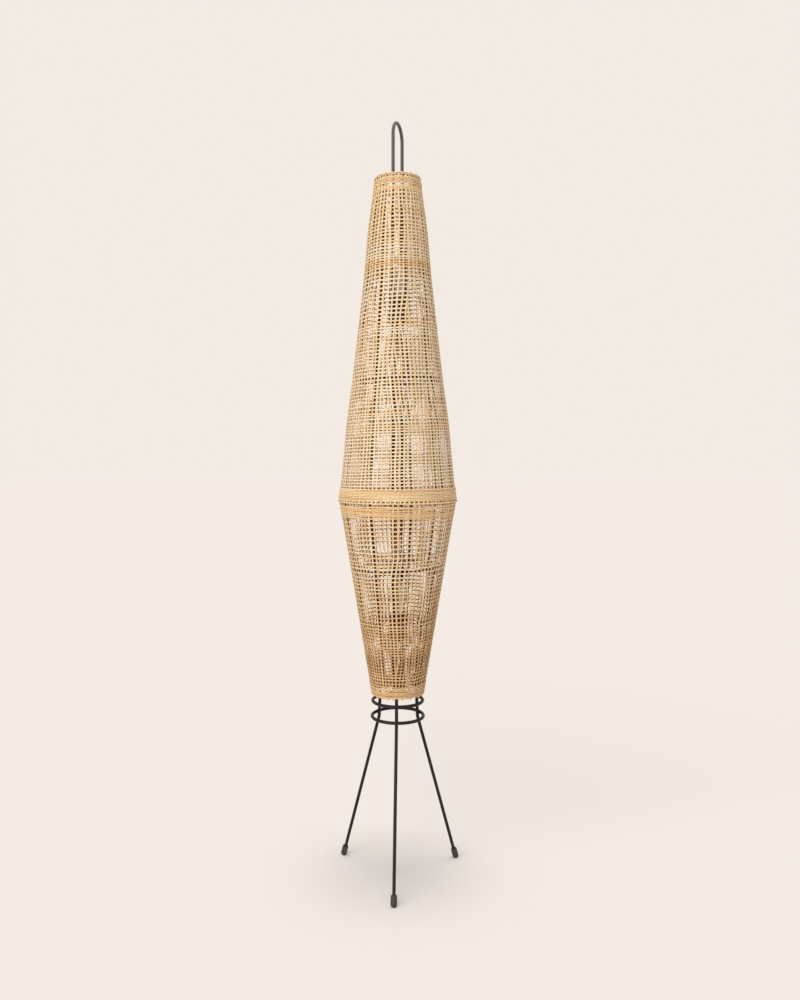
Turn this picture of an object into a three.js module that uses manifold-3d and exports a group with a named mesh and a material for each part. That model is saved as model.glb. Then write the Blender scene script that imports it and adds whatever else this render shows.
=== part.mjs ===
// Rattan floor lamp: a bent-rod tripod and hairpin that carry two lampholders and a
// spindle shade of two woven cones. The upper cone lifts off over the handle.
// Millimetres, +Z up. The floor is z = 0, and the lamp's box is centred on X and Y.
// Azimuths are counted from the front (-Y) towards the right (+X).
import * as THREE from 'three';
import { mergeVertices } from 'three/addons/utils/BufferGeometryUtils.js';
import Module from 'manifold-3d';

const wasm = await Module();
wasm.setup();

// Clearances
const seatGap = 0.3;            // between pieces that are welded, screwed or seated together
const overrun = 5;              // how far a cutting block runs past what it cuts

// Rods
const rodDia = 7;               // legs, base rings and hairpin
const frameRodDia = 4.5;        // rings and ribs inside the shade

// Tripod: each leg comes down inside the rings, bends below them and splays to its foot
const legCount = 3;
const legTurn = -3;             // degrees: the front leg stands a little left of the front
const legTopR = 44.6;
const legRise = 16;             // leg top above the shade's bottom ring
const legBendR = 48.3;
const legBendZ = 338;
const legBendRound = 30;
const footCircleR = 146;
const lowerRingDrop = 34;       // lower base ring below the upper one
const upperRingDrop = 22;       // upper base ring below the shade's bottom ring

// Rubber foot caps
const capWall = 3.1;
const capLength = 23.5;
const capFloor = 5.6;
const capFlat = 1;              // depth of the flat that the cap stands on
const capLip = 1.6;

// Shade: two cones that meet at a seam, each on its own rings and ribs
const bottomRingZ = 402;
const lowerShadeHeight = 413;
const upperShadeHeight = 666;
const bellyRingR = 118.2;
const ribCount = 9;
const ribTurn = -26.6;          // degrees
const rimLap = 3;               // woven wall past the ring that it is sewn to
const hoopRise = 250;           // hoop inside the upper cone's ribs, above the seam

// Woven wall: crowned stakes and weavers, flat at the back
const stakesPerBay = 3;         // stakes between one rib and the next
const stakeWidth = 5;
const weaverWidth = 5;
const strandThick = 2.8;
const weaveLift = 0.4;          // how far a crossing stands out or sits back
const lowerRows = 7;
const upperRows = 10;

// Plaited bands round the rims and the belly
const bandThick = 1.1;          // at its edges
const bandCrown = 0.7;          // more at its middle
const topBandHeight = 15;
const hemBandHeight = 34;
const hemLip = 6;               // the upper hem laps the lower cone by this much
const lowerBandHeight = 18;
const bottomBandHeight = 17;

// Small globe bulbs with a screw cap
const bulbR = 22.5;
const bulbHeight = 62;          // glass above the cap
const bulbNeckR = 12.4;
const bulbCapR = 13.1;
const bulbTipR = 4.6;
const bulbTipHeight = 3;
const bulbInsulatorR = 9.5;
const bulbCapShow = 2;          // cap above the lampholder's mouth

// Lampholders
const holderR = 19.5;
const holderHeight = 57;
const holderCapHeight = 24;
const holderWall = 1.6;
const holderMouthGap = 1;       // thread clearance round the bulb's cap
const holderNeckR = 11;
const insertThick = 9;
const insertPostR = 4.5;
const insertPostHeight = 4.3;
const nippleR = 5;
const nippleBoreR = 3.2;
const nippleAbove = 6;
const nippleBelow = 6;
const bracketThick = 3;
const bracketWidth = 16;

// Hairpin that carries the lampholders and ends in the handle
const hairpinTurn = -17.4;      // degrees
const bulbRoom = 5;             // between a bulb and the hairpin's rods
const handleRise = 119;         // handle top above the shade's top ring
const handleRoom = 5.3;         // between the hairpin and the shade's top ring
const footBarThick = 4;
const footBarLedge = 0.8;       // foot bar beside the rod that stands on it
const footBarEyeR = 12;
const footBarOverhang = 1.2;    // foot bar past the centre of the ring that it lies on

// Cord inlet, junction and leads
const gripStemR = 5;
const gripFlangeR = 9;
const gripFlangeThick = 3;
const gripNoseR = 6.2;
const gripNoseLength = 15;
const gripBoreR = 3.5;
const junctionR = 12;
const junctionHeight = 26;
const junctionRound = 3;
const leadDia = 5.5;
const leadApart = 8;            // between the two leads on the junction
const leadStub = 8;             // straight length at each end of a lead
const leadSway = 52;            // height over which a lead swings to or from the rod
const leadRound = 25;
const clipCount = 3;
const clipWall = 1.2;
const clipHeight = 5;

// Lampholder heights
const lowerHolderRise = 101;    // lower bracket above the foot bar
const upperHolderShare = 0.545; // upper bracket, as a share of the upper cone's height

// Facets
const rodSides = 10;
const frameSides = 6;
const leadSides = 8;
const bendSteps = 4;
const handleSteps = 8;
const ringSteps = 36;
const frameRingSteps = 27;
const turnedSteps = 14;
const smallSteps = 12;

const finishes = {
  cane: { color: 0xe2bf80, roughness: 0.62, metalness: 0 },
  plait: { color: 0xd2a463, roughness: 0.66, metalness: 0 },
  blackRod: { color: 0x2b2623, roughness: 0.42, metalness: 0.6 },
  rubber: { color: 0x232227, roughness: 0.75, metalness: 0 },
  bakelite: { color: 0x191817, roughness: 0.35, metalness: 0 },
  ceramic: { color: 0xe6e2d6, roughness: 0.5, metalness: 0 },
  brass: { color: 0xa98750, roughness: 0.35, metalness: 1 },
  nickel: { color: 0xb4b4af, roughness: 0.3, metalness: 1 },
  frosted: { color: 0xf3f0e8, roughness: 0.5, metalness: 0 },
  textile: { color: 0x4a3222, roughness: 0.9, metalness: 0 },
};

// Sizes that follow from the driving ones
const rodR = rodDia / 2;
const stakeCount = ribCount * stakesPerBay;
const frameRodR = frameRodDia / 2;
const legTopZ = bottomRingZ + legRise;
const legR = (z) => legTopR + (legBendR - legTopR) * (legTopZ - z) / (legTopZ - legBendZ);
const upperBaseRingZ = bottomRingZ - upperRingDrop;
const lowerBaseRingZ = upperBaseRingZ - lowerRingDrop;
const bottomRingR = legR(bottomRingZ) + rodR + seatGap + frameRodR;
const seamZ = bottomRingZ + lowerShadeHeight;
const topRingZ = seamZ + upperShadeHeight;
const ringSeat = frameRodR + seatGap / 2;       // ring centre above or below the seam
const hairpinR = bulbR + bulbRoom + rodR;
const topRingR = hairpinR + rodR + handleRoom + frameRodR;
const handleTopZ = topRingZ + handleRise;
const footBarZ = bottomRingZ + frameRodR + seatGap;
const lowerBracketZ = footBarZ + footBarThick + lowerHolderRise;
const upperBracketZ = seamZ + upperHolderShare * upperShadeHeight;
const leadOffset = rodR + leadDia / 2 + seatGap;
const degrees = THREE.MathUtils.degToRad;

// The rings' and ribs' centres lie on one cone in each half of the shade.
const lowerCone = { z0: bottomRingZ, r0: bottomRingR, z1: seamZ - ringSeat, r1: bellyRingR };
const upperCone = { z0: seamZ + ringSeat, r0: bellyRingR, z1: topRingZ, r1: topRingR };
const coneR = (cone, z) => cone.r0 + (cone.r1 - cone.r0) * (z - cone.z0) / (cone.z1 - cone.z0);

// The flat back of the weave clears the frame even where its chords dip between two stakes.
const backR = (cone, z) => (coneR(cone, z) + frameRodR + seatGap) / Math.cos(Math.PI / stakeCount);
const ridgeR = (cone, z) => backR(cone, z) + strandThick + weaveLift;

const out = (r, z) => new THREE.Vector3(0, -r, z);

// Keeps only the positions, welds them and drops faces that have no area.
function weld(geometry) {
  const bare = geometry.clone();
  for (const name of Object.keys(bare.attributes)) {
    if (name !== 'position') bare.deleteAttribute(name);
  }
  const merged = mergeVertices(bare);
  const index = merged.getIndex().array;
  const kept = [];
  for (let i = 0; i < index.length; i += 3) {
    const [a, b, c] = index.subarray(i, i + 3);
    if (a !== b && b !== c && c !== a) kept.push(a, b, c);
  }
  merged.setIndex(kept);
  merged.computeVertexNormals();
  return merged;
}

function toSolid(geometry) {
  const welded = weld(geometry);
  return new wasm.Manifold(new wasm.Mesh({
    numProp: 3,
    vertProperties: Float32Array.from(welded.getAttribute('position').array),
    triVerts: Uint32Array.from(welded.getIndex().array),
  }));
}

function toGeometry(solid) {
  const mesh = solid.getMesh();
  const geometry = new THREE.BufferGeometry();
  geometry.setAttribute('position', new THREE.BufferAttribute(mesh.vertProperties, 3));
  geometry.setIndex(new THREE.BufferAttribute(mesh.triVerts, 1));
  return geometry;
}

function add(parent, name, geometry, finish) {
  const mesh = new THREE.Mesh(weld(geometry), new THREE.MeshStandardMaterial(finish));
  mesh.name = name;
  parent.add(mesh);
  return mesh;
}

function turnedGroup(parent, azimuth) {
  const group = new THREE.Group();
  group.rotation.z = degrees(azimuth);
  parent.add(group);
  return group;
}

// The centre line of a bent rod: straight runs between corners, each corner an arc.
class RodPath extends THREE.Curve {
  constructor(corners, round, steps) {
    super();
    this.stations = [];
    this.tangents = [];
    const last = corners.length - 1;
    corners.forEach((corner, i) => {
      if (i === 0 || i === last) {
        const along = i === 0 ? corners[1].clone().sub(corner) : corner.clone().sub(corners[i - 1]);
        this.mark(corner, along.normalize());
      } else {
        this.bend(corners[i - 1], corner, corners[i + 1], round, steps);
      }
    });
  }

  mark(point, tangent) {
    const before = this.stations.at(-1);
    if (before && before.distanceTo(point) < seatGap) return;
    this.stations.push(point);
    this.tangents.push(tangent);
  }

  bend(from, corner, to, round, steps) {
    const arriving = corner.clone().sub(from).normalize();
    const leaving = to.clone().sub(corner).normalize();
    const angle = arriving.angleTo(leaving);
    const setback = round * Math.tan(angle / 2);
    const inward = leaving.clone().sub(arriving).normalize();
    const centre = corner.clone().addScaledVector(inward, Math.hypot(round, setback));
    const start = corner.clone().addScaledVector(arriving, -setback);
    const axis = arriving.clone().cross(leaving).normalize();
    for (let k = 0; k <= steps; k++) {
      const turn = angle * k / steps;
      const point = start.clone().sub(centre).applyAxisAngle(axis, turn).add(centre);
      this.mark(point, arriving.clone().applyAxisAngle(axis, turn));
    }
  }

  get steps() {
    return this.stations.length - 1;
  }

  // One step of the sweep for each station, so that straight runs stay one step long.
  getUtoTmapping(u) {
    return u;
  }

  span(t) {
    const at = t * this.steps;
    const i = Math.min(Math.floor(at), this.steps - 1);
    return [i, at - i];
  }

  getPoint(t, target = new THREE.Vector3()) {
    const [i, part] = this.span(t);
    return target.lerpVectors(this.stations[i], this.stations[i + 1], part);
  }

  getTangent(t, target = new THREE.Vector3()) {
    const [i, part] = this.span(t);
    return target.lerpVectors(this.tangents[i], this.tangents[i + 1], part).normalize();
  }
}

function disc(radius) {
  return new THREE.Shape().absarc(0, 0, radius, 0, 2 * Math.PI, false);
}

function sweep(path, dia, sides) {
  return new THREE.ExtrudeGeometry(disc(dia / 2), {
    steps: path.steps,
    curveSegments: sides / 2,
    extrudePath: path,
  });
}

function plate(shape, thick, sides) {
  const options = { depth: thick, bevelEnabled: false, curveSegments: sides / 2 };
  return new THREE.ExtrudeGeometry(shape, options);
}

// Turns a profile of [radius, height] points, listed up the outside, about the lamp's axis.
function revolve(profile, segments, phiStart = 0) {
  const points = profile.map(([r, z]) => new THREE.Vector2(r, z));
  return new THREE.LatheGeometry(points, segments, phiStart).rotateX(Math.PI / 2);
}

function arcPoints(centreR, centreZ, radius, from, to, steps) {
  return Array.from({ length: steps + 1 }, (_, k) => {
    const angle = degrees(from + (to - from) * k / steps);
    return [centreR + radius * Math.cos(angle), centreZ + radius * Math.sin(angle)];
  });
}

function ring(radius, dia, z, sides, segments) {
  return new THREE.TorusGeometry(radius, dia / 2, sides, segments).translate(0, 0, z);
}

// Base: legs, foot caps and the two rings that tie the legs together
const footCentreZ = rodR + capWall - capFlat;
const legSplay = Math.atan2(footCircleR - legBendR, legBendZ - footCentreZ);

function legGeometry() {
  const capAxis = new THREE.Vector3(0, Math.sin(legSplay), Math.cos(legSplay));
  const foot = out(footCircleR, footCentreZ);
  const end = foot.addScaledVector(capAxis, capFloor - rodR - capWall + seatGap);
  const corners = [out(legTopR, legTopZ), out(legBendR, legBendZ), end];
  return sweep(new RodPath(corners, legBendRound, bendSteps), rodDia, rodSides);
}

function footCapGeometry() {
  const capR = rodR + capWall;
  const boreR = rodR + seatGap;
  const mouth = capLength - capR;
  const profile = [
    ...arcPoints(0, 0, capR, -90, 0, 3),
    [capR, mouth - 2 * capLip], [capR - capLip / 2, mouth - capLip], [capR - capLip / 2, mouth],
    [boreR, mouth], [boreR, capFloor - capR], [0, capFloor - capR],
  ];
  const cap = revolve(profile, smallSteps).rotateX(-legSplay);
  cap.translate(0, -footCircleR, footCentreZ);
  const side = 2 * capLength;
  const floor = new THREE.BoxGeometry(side, side, overrun);
  floor.translate(0, -footCircleR, -overrun / 2);
  return toGeometry(toSolid(cap).subtract(toSolid(floor)));
}

function addBase(lamp) {
  ['front', 'right', 'left'].forEach((place, k) => {
    const turned = turnedGroup(lamp, legTurn + 360 * k / legCount);
    add(turned, `leg_${place}`, legGeometry(), finishes.blackRod);
    add(turned, `foot_cap_${place}`, footCapGeometry(), finishes.rubber);
  });
  for (const [name, z] of [['upper', upperBaseRingZ], ['lower', lowerBaseRingZ]]) {
    const radius = legR(z) + rodDia + seatGap;
    add(lamp, `base_ring_${name}`, ring(radius, rodDia, z, rodSides - 2, ringSteps), finishes.blackRod);
  }
}

// Hairpin, and the bar with an eye that it stands on
function hairpinGeometry() {
  const foot = footBarZ + footBarThick + seatGap;
  const crown = handleTopZ - rodR;
  const corners = [
    out(hairpinR, foot), out(hairpinR, crown), out(-hairpinR, crown), out(-hairpinR, foot),
  ];
  return sweep(new RodPath(corners, hairpinR, handleSteps), rodDia, rodSides);
}

function footBarGeometry() {
  const half = rodR + footBarLedge;
  const reach = bottomRingR + footBarOverhang;
  const open = Math.acos(half / footBarEyeR);
  const shape = new THREE.Shape();
  shape.moveTo(half, -reach);
  shape.absarc(0, 0, footBarEyeR, -open, open, false);
  shape.lineTo(half, reach);
  shape.lineTo(-half, reach);
  shape.absarc(0, 0, footBarEyeR, Math.PI - open, Math.PI + open, false);
  shape.lineTo(-half, -reach);
  shape.holes.push(disc(gripStemR + seatGap));
  return plate(shape, footBarThick, smallSteps).translate(0, 0, footBarZ);
}

// Cord inlet: a stem through the eye, a flange under the bar and a tapered nose
function cordGripGeometry() {
  const flangeTop = footBarZ - seatGap;
  const flangeBottom = flangeTop - gripFlangeThick;
  const nose = flangeBottom - gripNoseLength;
  return revolve([
    [gripBoreR, nose], [gripNoseR, nose], [gripNoseR, nose + gripNoseLength / 3],
    [gripFlangeR, flangeBottom], [gripFlangeR, flangeTop], [gripStemR, flangeTop],
    [gripStemR, footBarZ + footBarThick], [gripBoreR, footBarZ + footBarThick], [gripBoreR, nose],
  ], smallSteps);
}

function junctionGeometry() {
  const base = footBarZ + footBarThick + seatGap;
  const lid = base + junctionHeight;
  return revolve([
    [0, base], [junctionR, base],
    ...arcPoints(junctionR - junctionRound, lid - junctionRound, junctionRound, 0, 90, 3),
    [0, lid],
  ], smallSteps);
}

// A lampholder on its bracket, standing at the height of the bracket's underside
const bracketTop = bracketThick;
const holderBase = bracketTop + seatGap;
const capTop = holderBase + holderCapHeight;
const holderTop = holderBase + holderHeight;
const insertBase = capTop - insertThick;
const insertTop = capTop - seatGap;
const bulbTipZ = insertTop + insertPostHeight + seatGap;
const bulbCapTop = holderTop + bulbCapShow;

function bracketGeometry() {
  const reach = hairpinR - rodR - seatGap;
  const half = bracketWidth / 2;
  const shape = new THREE.Shape([
    new THREE.Vector2(-half, -reach), new THREE.Vector2(half, -reach),
    new THREE.Vector2(half, reach), new THREE.Vector2(-half, reach),
  ]);
  shape.holes.push(disc(nippleR + seatGap));
  return plate(shape, bracketThick, smallSteps);
}

function nippleGeometry() {
  return revolve([
    [nippleBoreR, -nippleBelow], [nippleR, -nippleBelow],
    [nippleR, bracketTop + nippleAbove], [nippleBoreR, bracketTop + nippleAbove],
    [nippleBoreR, -nippleBelow],
  ], smallSteps);
}

// A domed cup, open at the top, with the nipple's hole in its floor
function holderCapGeometry() {
  const hole = nippleR + seatGap;
  const shoulder = holderR - holderNeckR;
  const inner = holderR - holderWall;
  const floor = holderBase + holderWall;
  return revolve([
    [hole, holderBase],
    ...arcPoints(holderNeckR, holderBase + shoulder, shoulder, -90, 0, 3),
    [holderR, capTop], [inner, capTop], [inner, holderBase + shoulder],
    [holderNeckR, floor], [hole, floor], [hole, holderBase],
  ], turnedSteps);
}

function insertGeometry() {
  const radius = holderR - holderWall - seatGap;
  return revolve([
    [0, insertBase], [radius, insertBase], [radius, insertTop], [insertPostR, insertTop],
    [insertPostR, insertTop + insertPostHeight], [0, insertTop + insertPostHeight],
  ], turnedSteps);
}

// The outer sleeve: a collar at its foot, a grip band, and a mouth round the bulb's cap
function holderShellGeometry() {
  const base = capTop + seatGap;
  const mouthR = bulbCapR + holderMouthGap;
  const collar = base + holderWall;
  return revolve([
    [mouthR, base], [holderR, base], [holderR, collar], [holderR - holderWall, collar + holderWall],
    [holderR - holderWall, holderTop - holderWall], [holderR - 2 * holderWall, holderTop],
    [mouthR, holderTop], [mouthR, base],
  ], turnedSteps);
}

function bulbCapGeometry() {
  const insulator = bulbTipZ + bulbTipHeight;
  return revolve([
    [0, bulbTipZ], [bulbTipR, bulbTipZ], [bulbTipR, insulator], [bulbInsulatorR, insulator],
    [bulbCapR, insulator + bulbTipHeight], [bulbCapR, bulbCapTop], [0, bulbCapTop],
  ], smallSteps);
}

// The glass: a neck that flares by a straight cone into a round globe
function bulbGlassGeometry() {
  const base = bulbCapTop + seatGap;
  const centre = base + bulbHeight - bulbR;
  const flare = 35;             // degrees below the globe's equator
  return revolve([
    [0, base], [bulbNeckR, base],
    ...arcPoints(0, centre, bulbR, -flare, 90, 7),
  ], turnedSteps);
}

function addLampholder(parent, place, bracketZ) {
  const stand = new THREE.Group();
  stand.position.z = bracketZ;
  parent.add(stand);
  add(stand, `${place}_bracket`, bracketGeometry(), finishes.blackRod);
  add(stand, `${place}_nipple`, nippleGeometry(), finishes.brass);
  add(stand, `${place}_holder_cap`, holderCapGeometry(), finishes.bakelite);
  add(stand, `${place}_holder_insert`, insertGeometry(), finishes.ceramic);
  add(stand, `${place}_holder_shell`, holderShellGeometry(), finishes.bakelite);
  add(stand, `${place}_bulb_cap`, bulbCapGeometry(), finishes.nickel);
  add(stand, `${place}_bulb_glass`, bulbGlassGeometry(), finishes.frosted);
}

// The leads leave the junction side by side. One goes straight up to the lower lampholder,
// and the other swings to the near rod of the hairpin, climbs beside it and swings back.
const leadStart = footBarZ + footBarThick + 2 * seatGap + junctionHeight;
const leadEnd = (bracketZ) => bracketZ - nippleBelow - seatGap;
const beside = (along, z) => new THREE.Vector3(leadOffset, -along, z);

function lowerLeadPath() {
  const side = -leadApart / 2;
  const end = leadEnd(lowerBracketZ);
  return new RodPath([
    new THREE.Vector3(side, 0, leadStart), new THREE.Vector3(side, 0, leadStart + leadStub),
    new THREE.Vector3(0, 0, end - leadStub), new THREE.Vector3(0, 0, end),
  ], leadRound, bendSteps);
}

function upperLeadPath() {
  const side = leadApart / 2;
  const end = leadEnd(upperBracketZ);
  return new RodPath([
    new THREE.Vector3(side, 0, leadStart), new THREE.Vector3(side, 0, leadStart + leadStub),
    beside(hairpinR, leadStart + leadSway), beside(hairpinR, end - leadSway),
    new THREE.Vector3(0, 0, end - leadStub), new THREE.Vector3(0, 0, end),
  ], leadRound, bendSteps);
}

// A band round the rod and the lead, with straight sides and round ends
function clipGeometry() {
  const slot = (radius) => new THREE.Shape()
    .absarc(0, 0, radius, degrees(90), degrees(270), false)
    .absarc(leadOffset, 0, radius, degrees(-90), degrees(90), false);
  const inner = rodR + seatGap;
  const shape = slot(inner + clipWall);
  shape.holes.push(slot(inner));
  return plate(shape, clipHeight, smallSteps / 2);
}

function addCentre(lamp) {
  const turned = turnedGroup(lamp, hairpinTurn);
  add(turned, 'hairpin', hairpinGeometry(), finishes.blackRod);
  add(turned, 'foot_bar', footBarGeometry(), finishes.blackRod);
  add(turned, 'cord_grip', cordGripGeometry(), finishes.bakelite);
  add(turned, 'junction_housing', junctionGeometry(), finishes.bakelite);
  addLampholder(turned, 'lower', lowerBracketZ);
  addLampholder(turned, 'upper', upperBracketZ);
  add(turned, 'lower_lead', sweep(lowerLeadPath(), leadDia, leadSides), finishes.textile);
  add(turned, 'upper_lead', sweep(upperLeadPath(), leadDia, leadSides), finishes.textile);
  const low = lowerBracketZ + holderTop;
  const high = leadEnd(upperBracketZ) - leadSway - leadRound;
  for (let k = 1; k <= clipCount; k++) {
    const z = low + (high - low) * (k - 0.5) / clipCount;
    const clip = add(turned, `lead_clip_${k}`, clipGeometry(), finishes.bakelite);
    clip.position.set(0, -hairpinR, z);
  }
}

// Woven wall. Each crossing has a ridge point outside and the four corners of a flat back,
// and its strands run on to the next crossings, so each gap is a window with sloped sides.
// Crossings stand out and sit back in turn, as a weaver passes over and under the stakes.
function wovenConeGeometry(cone, z0, z1, rows) {
  const positions = [];
  const index = [];
  const half = weaverWidth / 2;
  const pitch = (z1 - z0 - weaverWidth) / rows;
  const put = (azimuth, r, z) => positions.push(r * Math.sin(azimuth), -r * Math.cos(azimuth), z);
  for (let j = 0; j <= rows; j++) {
    const z = z0 + half + j * pitch;
    for (let i = 0; i < stakeCount; i++) {
      const azimuth = 2 * Math.PI * (i + 0.5) / stakeCount;
      const lift = (i + j) % 2 ? weaveLift : -weaveLift;
      put(azimuth, backR(cone, z) + strandThick + lift, z);
      for (const [side, edge] of [[-1, -half], [1, -half], [1, half], [-1, half]]) {
        const r = backR(cone, z + edge);
        put(azimuth + side * stakeWidth / 2 / r, r, z + edge);
      }
    }
  }
  const places = ['ridge', 'leftLow', 'rightLow', 'rightHigh', 'leftHigh'];
  const at = (i, j, place) => (j * stakeCount + i % stakeCount) * places.length + places.indexOf(place);
  const quad = (a, b, c, d) => index.push(a, b, c, a, c, d);
  for (let i = 0; i < stakeCount; i++) {
    for (let j = 0; j <= rows; j++) {
      const here = (place) => at(i, j, place);
      const right = (place) => at(i + 1, j, place);
      quad(here('leftLow'), here('leftHigh'), here('rightHigh'), here('rightLow'));
      quad(here('rightLow'), here('rightHigh'), right('leftHigh'), right('leftLow'));
      if (j === rows) continue;
      const above = (place) => at(i, j + 1, place);
      const across = (place) => at(i + 1, j + 1, place);
      quad(here('leftHigh'), above('leftLow'), above('rightLow'), here('rightHigh'));
      quad(here('ridge'), right('ridge'), right('leftHigh'), here('rightHigh'));
      quad(above('rightLow'), across('leftLow'), across('ridge'), above('ridge'));
      quad(here('ridge'), here('rightHigh'), above('rightLow'), above('ridge'));
      quad(right('leftHigh'), right('ridge'), across('ridge'), across('leftLow'));
    }
    index.push(at(i, 0, 'leftLow'), at(i, 0, 'rightLow'), at(i, 0, 'ridge'));
    quad(at(i, 0, 'rightLow'), at(i + 1, 0, 'leftLow'), at(i + 1, 0, 'ridge'), at(i, 0, 'ridge'));
    index.push(at(i, rows, 'ridge'), at(i, rows, 'rightHigh'), at(i, rows, 'leftHigh'));
    quad(at(i, rows, 'ridge'), at(i + 1, rows, 'ridge'),
      at(i + 1, rows, 'leftHigh'), at(i, rows, 'rightHigh'));
  }
  const geometry = new THREE.BufferGeometry();
  geometry.setAttribute('position', new THREE.Float32BufferAttribute(positions, 3));
  geometry.setIndex(index);
  return geometry;
}

// A crowned, plaited band round the weave, with its corners on the stakes
function bandGeometry(innerR, z0, z1) {
  const middle = (z0 + z1) / 2;
  const profile = [
    [innerR(z0), z0], [innerR(z0) + bandThick, z0],
    [innerR(middle) + bandThick + bandCrown, middle],
    [innerR(z1) + bandThick, z1], [innerR(z1), z1], [innerR(z0), z0],
  ];
  return revolve(profile, stakeCount, Math.PI / stakeCount);
}

function addFrame(shade, half, cone) {
  const along = new THREE.Vector2(cone.r1 - cone.r0, cone.z1 - cone.z0).normalize();
  const inset = along.multiplyScalar(frameRodR + seatGap);
  for (let k = 0; k < ribCount; k++) {
    const turned = turnedGroup(shade, 360 * k / ribCount);
    const ends = [out(cone.r0 + inset.x, cone.z0 + inset.y), out(cone.r1 - inset.x, cone.z1 - inset.y)];
    const rib = sweep(new RodPath(ends), frameRodDia, frameSides);
    add(turned, `${half}_rib_${k + 1}`, rib, finishes.blackRod);
  }
  for (const [place, r, z] of [['bottom', cone.r0, cone.z0], ['top', cone.r1, cone.z1]]) {
    const hoop = ring(r, frameRodDia, z, frameSides, frameRingSteps);
    add(shade, `${half}_frame_ring_${place}`, hoop, finishes.blackRod);
  }
}

// A hoop inside the ribs, against them, with a corner behind each rib
function ribHoop(cone, z) {
  const slope = Math.atan2(cone.r1 - cone.r0, cone.z1 - cone.z0);
  const radius = coneR(cone, z) - (frameRodDia + seatGap) / Math.cos(slope);
  return ring(radius, frameRodDia, z, frameSides, frameRingSteps).rotateZ(-Math.PI / 2);
}

function addLowerShade(shade) {
  const foot = bottomRingZ - frameRodR - rimLap;
  const rim = seamZ - seatGap;
  addFrame(shade, 'lower', lowerCone);
  add(shade, 'lower_weave', wovenConeGeometry(lowerCone, foot, rim, lowerRows), finishes.cane);
  const skin = (z) => ridgeR(lowerCone, z) + seatGap;
  add(shade, 'bottom_rim_band', bandGeometry(skin, foot, foot + bottomBandHeight), finishes.plait);
  const under = rim - hemLip - seatGap;
  add(shade, 'lower_hem_band', bandGeometry(skin, under - lowerBandHeight, under), finishes.plait);
}

function addUpperShade(shade) {
  const foot = seamZ + seatGap;
  const rim = topRingZ + frameRodR + rimLap / 2;
  addFrame(shade, 'upper', upperCone);
  add(shade, 'upper_frame_hoop', ribHoop(upperCone, seamZ + hoopRise), finishes.blackRod);
  add(shade, 'upper_weave', wovenConeGeometry(upperCone, foot, rim, upperRows), finishes.cane);
  const skin = (z) => ridgeR(upperCone, z) + seatGap;
  const lapped = seamZ - hemLip;
  add(shade, 'upper_hem_band', bandGeometry(skin, lapped, lapped + hemBandHeight), finishes.plait);
  add(shade, 'top_rim_band', bandGeometry(skin, rim - topBandHeight, rim), finishes.plait);
}

const lamp = new THREE.Group();
addBase(lamp);
addCentre(lamp);
addLowerShade(turnedGroup(lamp, ribTurn));
addUpperShade(turnedGroup(lamp, ribTurn));

// The origin is on the floor, under the middle of the lamp's box.
lamp.updateMatrixWorld(true);
const middle = new THREE.Box3().setFromObject(lamp, true).getCenter(new THREE.Vector3());
lamp.position.set(-middle.x, -middle.y, 0);

export default lamp;
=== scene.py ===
# %% [markdown]
# # A rattan floor lamp
# The lamp has a tripod of bent steel rod, a hairpin of the same rod that carries two lampholders
# and ends above as a carrying handle, and a tall spindle shade woven of split rattan. This lesson
# dresses the lamp's plain model: it weaves the shade strip by strip, bends the rods, turns the
# lampholders and bulbs, and gives every piece its finish. Lengths are in metres, with Z up and
# the front towards -Y. An azimuth is counted from the front towards the right.

# %% Load the plain model
import math

import bpy
import numpy as np
from mathutils import Matrix, Vector


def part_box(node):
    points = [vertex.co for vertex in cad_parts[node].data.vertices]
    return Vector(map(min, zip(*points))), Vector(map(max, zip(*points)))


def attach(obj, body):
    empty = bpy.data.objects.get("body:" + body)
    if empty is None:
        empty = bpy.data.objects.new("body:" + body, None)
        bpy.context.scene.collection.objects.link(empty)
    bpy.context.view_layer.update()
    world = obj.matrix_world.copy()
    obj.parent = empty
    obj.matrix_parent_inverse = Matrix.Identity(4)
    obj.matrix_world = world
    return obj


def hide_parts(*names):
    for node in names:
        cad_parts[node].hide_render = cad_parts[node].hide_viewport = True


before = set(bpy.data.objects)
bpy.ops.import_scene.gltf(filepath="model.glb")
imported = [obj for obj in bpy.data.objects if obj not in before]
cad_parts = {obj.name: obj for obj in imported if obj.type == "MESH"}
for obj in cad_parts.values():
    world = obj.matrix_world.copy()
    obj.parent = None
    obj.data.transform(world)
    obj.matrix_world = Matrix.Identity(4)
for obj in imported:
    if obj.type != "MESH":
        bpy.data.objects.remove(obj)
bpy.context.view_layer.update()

# %% [markdown]
# Every piece is measured from the lamp's own axis, which the round junction box stands on. The
# heights come from the plain model too. Only sizes that a box can't show are written down here:
# the thickness of the rods, and the radii of the rings.

# %% Axis, heights and driving sizes
mm = 0.001


def box_middle(node):
    low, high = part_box(node)
    return (low + high) / 2


def bottom_of(node):
    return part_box(node)[0].z


def top_of(node):
    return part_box(node)[1].z


def ring_height(node):
    return box_middle(node).z


axis = box_middle("junction_housing")
rod_r = 3.5 * mm
frame_rod_r = 2.25 * mm
gap = 0.3 * mm
belly_r = 118.2 * mm
bottom_ring_r = 51.39 * mm
top_ring_r = 42.05 * mm
rib_turn = math.radians(-26.6)
rib_count = 9
print("lamp axis at", round(axis.x, 5), round(axis.y, 5))


def place(azimuth, radius, height):
    """A point at an azimuth, a distance from the lamp's axis and a height."""
    return Vector((axis.x + radius * math.sin(azimuth), axis.y - radius * math.cos(azimuth), height))


# %% [markdown]
# The photograph was taken from straight in front, at about half the lamp's height, with the
# camera looking a little down. A lens of about 31 mm on a 36 mm sensor, 1.8 m away, gives the
# same flat ellipses at the rings and the same spread of the feet.

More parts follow.
